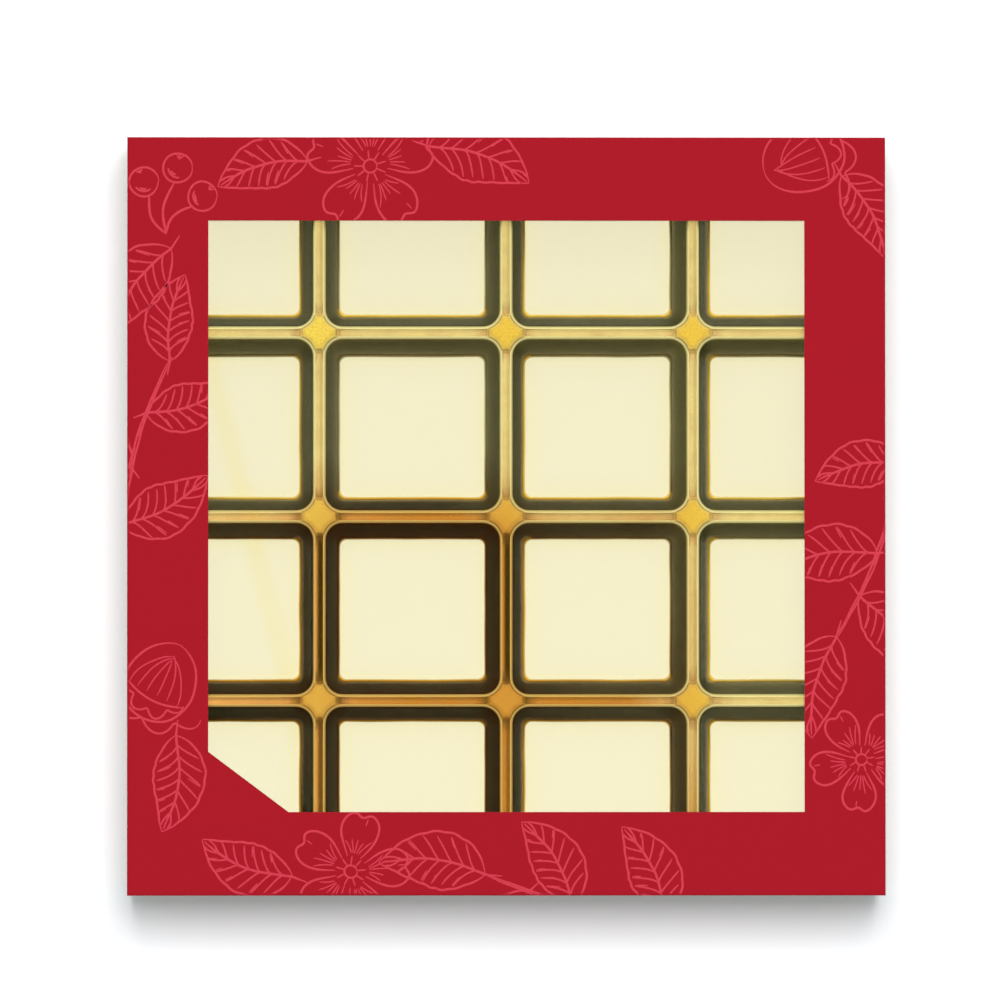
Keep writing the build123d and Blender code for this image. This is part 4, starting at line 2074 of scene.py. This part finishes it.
@dataclass
class Studio:
    """The floor, the soft light and the camera.

    The world is bright straight overhead, dimmer in a band round that, bright again
    below the band and dark from the horizon up to 50 degrees, so that level gold
    shines while steep gold stays dark. Its bands are pairs of the sine of the height
    above the horizon and the grey there. Pixels are counted in the photograph.
    """

    scale: float = 0.2056 * MM
    lid_centre_px: Pair = (506.5, 516.2)
    foot_px: Pair = (345.0, 700.0)
    middle_px: Pair = (500.0, 500.0)
    distance: float = 2.2
    sensor: float = 36 * MM
    floor_half: float = 4.0
    floor_points: int = 41
    floor_rise: float = 0.6
    floor_gap: float = 0.02 * MM
    floor_glow: float = 0.11
    floor_glow_colour: Colour = (0.45, 0.86, 1.0)
    floor_dark: Colour = (0.955, 0.955, 0.955)
    floor_pale: Colour = (0.965, 0.965, 0.965)
    key_distance: float = 2.6
    key_lean: float = 14.0
    key_side: float = 0.05
    key_size: Pair = (1.0, 1.1)
    key_power: float = 50.0
    dome: float = 1.2
    dome_lean: float = 0.45
    bands: tuple[tuple[float, float], ...] = (
        (0.0, 0.14),
        (0.78, 0.12),
        (0.86, 1.0),
        (0.9, 1.0),
        (0.925, 0.42),
        (0.976, 0.42),
        (0.986, 0.96),
        (1.0, 0.96),
    )

    def floor(self) -> Piece:
        """Make the pale floor: a wide sheet that curves up at its far edges.

        Returns:
            The floor.
        """
        share = np.linspace(-1, 1, self.floor_points)
        across, along = np.meshgrid(share, share, indexing="ij")
        reach = np.maximum(np.abs(across), np.abs(along))
        height = self.floor_rise * smooth_step(0.7, 1.0, reach) - self.floor_gap
        points = np.stack([across * self.floor_half, along * self.floor_half, height], -1)
        faces = grid_faces(self.floor_points, self.floor_points, False, False)
        material, wiring, shader = Finish("studio_floor", roughness=0.9, specular=0.0).start()
        pale = wiring.noise(3.0, 2.0, wiring.place())
        wiring.feed(shader.inputs["Base Color"], wiring.mix(pale, self.floor_dark, self.floor_pale))
        rays = wiring.node("ShaderNodeLightPath")
        seen = wiring.maths("MAXIMUM", rays.outputs["Is Camera Ray"], rays.outputs["Is Glossy Ray"])
        seen = wiring.maths("MAXIMUM", seen, rays.outputs["Is Transmission Ray"])
        wiring.feed(shader.inputs["Emission Strength"], wiring.maths("MULTIPLY", seen, self.floor_glow))
        shader.inputs["Emission Color"].default_value = (*self.floor_glow_colour, 1.0)
        surface = Surface(points.reshape(-1, 3), faces, np.zeros(len(faces)))
        floor = make_piece("studio_floor", surface, [material])
        return floor

    def world(self) -> None:
        """Light the scene with a plain soft dome, brighter overhead and to the back."""
        world = bpy.data.worlds.new("soft_dome")
        bpy.context.scene.world = world
        world.use_nodes = True
        wiring = Wiring(world.node_tree)
        backdrop = world.node_tree.nodes["Background"]
        y, z = wiring.split(wiring.node("ShaderNodeTexCoord").outputs["Generated"])[1:]
        lean = wiring.maths("MULTIPLY_ADD", y, self.dome_lean, 1.0)
        wiring.feed(backdrop.inputs["Color"], wiring.grey_ramp(z, self.bands))
        wiring.feed(backdrop.inputs["Strength"], wiring.maths("MULTIPLY", lean, self.dome))

    def key(self) -> None:
        """Hang the soft key lamp behind the box, high overhead."""
        light = bpy.data.lights.new("key_lamp", "AREA")
        light.shape = "RECTANGLE"
        light.size, light.size_y = self.key_size
        light.energy = self.key_power
        lamp = bpy.data.objects.new("key_lamp", light)
        bpy.context.scene.collection.objects.link(lamp)
        lean = math.radians(self.key_lean)
        behind, above = math.sin(lean), math.cos(lean)
        lamp.location = (self.key_side, self.key_distance * behind, self.key_distance * above)
        lamp.rotation_euler = (-lamp.location).to_track_quat("-Z", "Y").to_euler()
        lamp.visible_glossy = lamp.visible_transmission = lamp.visible_camera = False

    def shown_at(self, pixel: Pair, height: float) -> Vector:
        """Find the place that lies under a pixel of the photograph.

        Args:
            pixel: The pixel, counted from the upper left.
            height: The place's height.

        Returns:
            The place.
        """
        across = pixel[0] - self.lid_centre_px[0]
        along = self.lid_centre_px[1] - pixel[1]
        return Vector((across * self.scale, along * self.scale, height))

    def camera(self, top: float) -> None:
        """Hang the camera over the front left and aim it at the middle of the picture.

        Args:
            top: Height of the lid's upper face.
        """
        eye = self.shown_at(self.foot_px, top + self.distance)
        sight = self.shown_at(self.middle_px, top) - eye
        data = bpy.data.cameras.new("camera")
        data.sensor_width = self.sensor / MM
        data.lens = self.sensor / MM * sight.length / (2 * self.middle_px[0] * self.scale)
        data.clip_end = 50
        camera = bpy.data.objects.new("camera", data)
        bpy.context.scene.collection.objects.link(camera)
        camera.location = eye
        camera.rotation_euler = Vector((0, 0, -1)).rotation_difference(sight).to_euler()
        bpy.context.scene.camera = camera

    def build(self, top: float) -> None:
        """Make the whole studio.

        Args:
            top: Height of the lid's upper face.
        """
        bpy.context.scene.view_settings.view_transform = "Standard"
        self.floor()
        self.world()
        self.key()
        self.camera(top)


@dataclass
class ChocolateBox:
    """The whole box: it makes the finishes, then each piece, and rides them."""

    print_room: float = 0.03 * MM
    film_lap: float = 8 * MM
    red: Colour = (0.385, 0.0062, 0.0163)
    tan: Colour = srgb(196, 160, 96)
    white: Colour = srgb(236, 232, 224)

    def finishes(self) -> dict[str, Material]:
        """Make every material once.

        Returns:
            The materials by name.
        """
        fibre = paper_fibre_group()
        specks = speck_group()
        return {
            "red": BoardFinish("red_print", 0.5, 0.12, 0.0, self.red, 0.015, 0.006 * MM).make(fibre),
            "tan": BoardFinish("gold_tan_board", 0.42, 0.4, 0.0, self.tan, 0.03, 0.01 * MM).make(fibre),
            "bare": BoardFinish("bare_board", 0.85, 0.3, 0.0, self.white, 0.03, 0.03 * MM).make(fibre),
            "ink": InkFinish().make(fibre),
            "gold": GoldFinish().make(specks),
            "gold_back": SheetBackFinish().make(),
            "film": FilmFinish().make(),
            "glue": GlueFinish().make(),
        }

    def settle(self, piece: Piece, body: str, slot: str, *nodes: str) -> None:
        """Let a piece ride on its body and hide the nodes it replaces.

        Args:
            piece: The piece.
            body: The body that it rides on.
            slot: The record's material slot; not used.
            *nodes: The CAD nodes that it stands for.
        """
        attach(piece, body)
        if nodes:
            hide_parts(*nodes)
        LOG.info("%s: %d faces on %s", piece.name, len(piece.data.polygons), body)

    def dress_node(self, name: str, material: Material) -> None:
        """Give a CAD node that stays a better material.

        Args:
            name: The node.
            material: Its material.
        """
        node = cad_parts[name]
        node.data.materials.clear()
        node.data.materials.append(material)

    def build(self) -> None:
        """Build and dress every piece of the box."""
        finish = self.finishes()
        low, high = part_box("lid_carton")
        film_low, film_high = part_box("window_film")
        window = Window(film_high.x - self.film_lap, film_high.y - self.film_lap)
        room = self.print_room
        lid = Carton(*(side - room for side in high), low.z, board=Carton.board - room, window=window)
        board = lid.build("lid_board", finish["red"], finish["bare"])
        self.settle(board, "lid", "red_board", "lid_carton")
        self.settle(LidPrint(lid).build(finish["ink"]), "lid", "red_board")
        film = WindowFilm(film_low, film_high, window).build(finish["film"])
        self.settle(film, "lid", "clear_film", "window_film")

        low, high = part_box("base_carton")
        base = Carton(high.x, high.y, low.z, high.z, panel_sag=0.0)
        board = base.build("base_board", finish["tan"], finish["bare"])
        self.settle(board, "base", "base_board", "base_carton")

        low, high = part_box("cavity_tray")
        tray = CavityTray(low, high).build(finish["gold"], finish["gold_back"])
        self.settle(tray, "tray", "gold_sheet", "cavity_tray")
        for name in ("base_corner_glue", "lid_corner_glue", "film_glue_frame"):
            self.dress_node(name, finish["glue"])


def main() -> None:
    """Build the box and the studio."""
    logging.basicConfig(level=logging.INFO, format="%(name)s %(message)s")
    ChocolateBox().build()
    Studio().build(CAD_BOX[1].z)


if __name__ == "__main__":
    main()
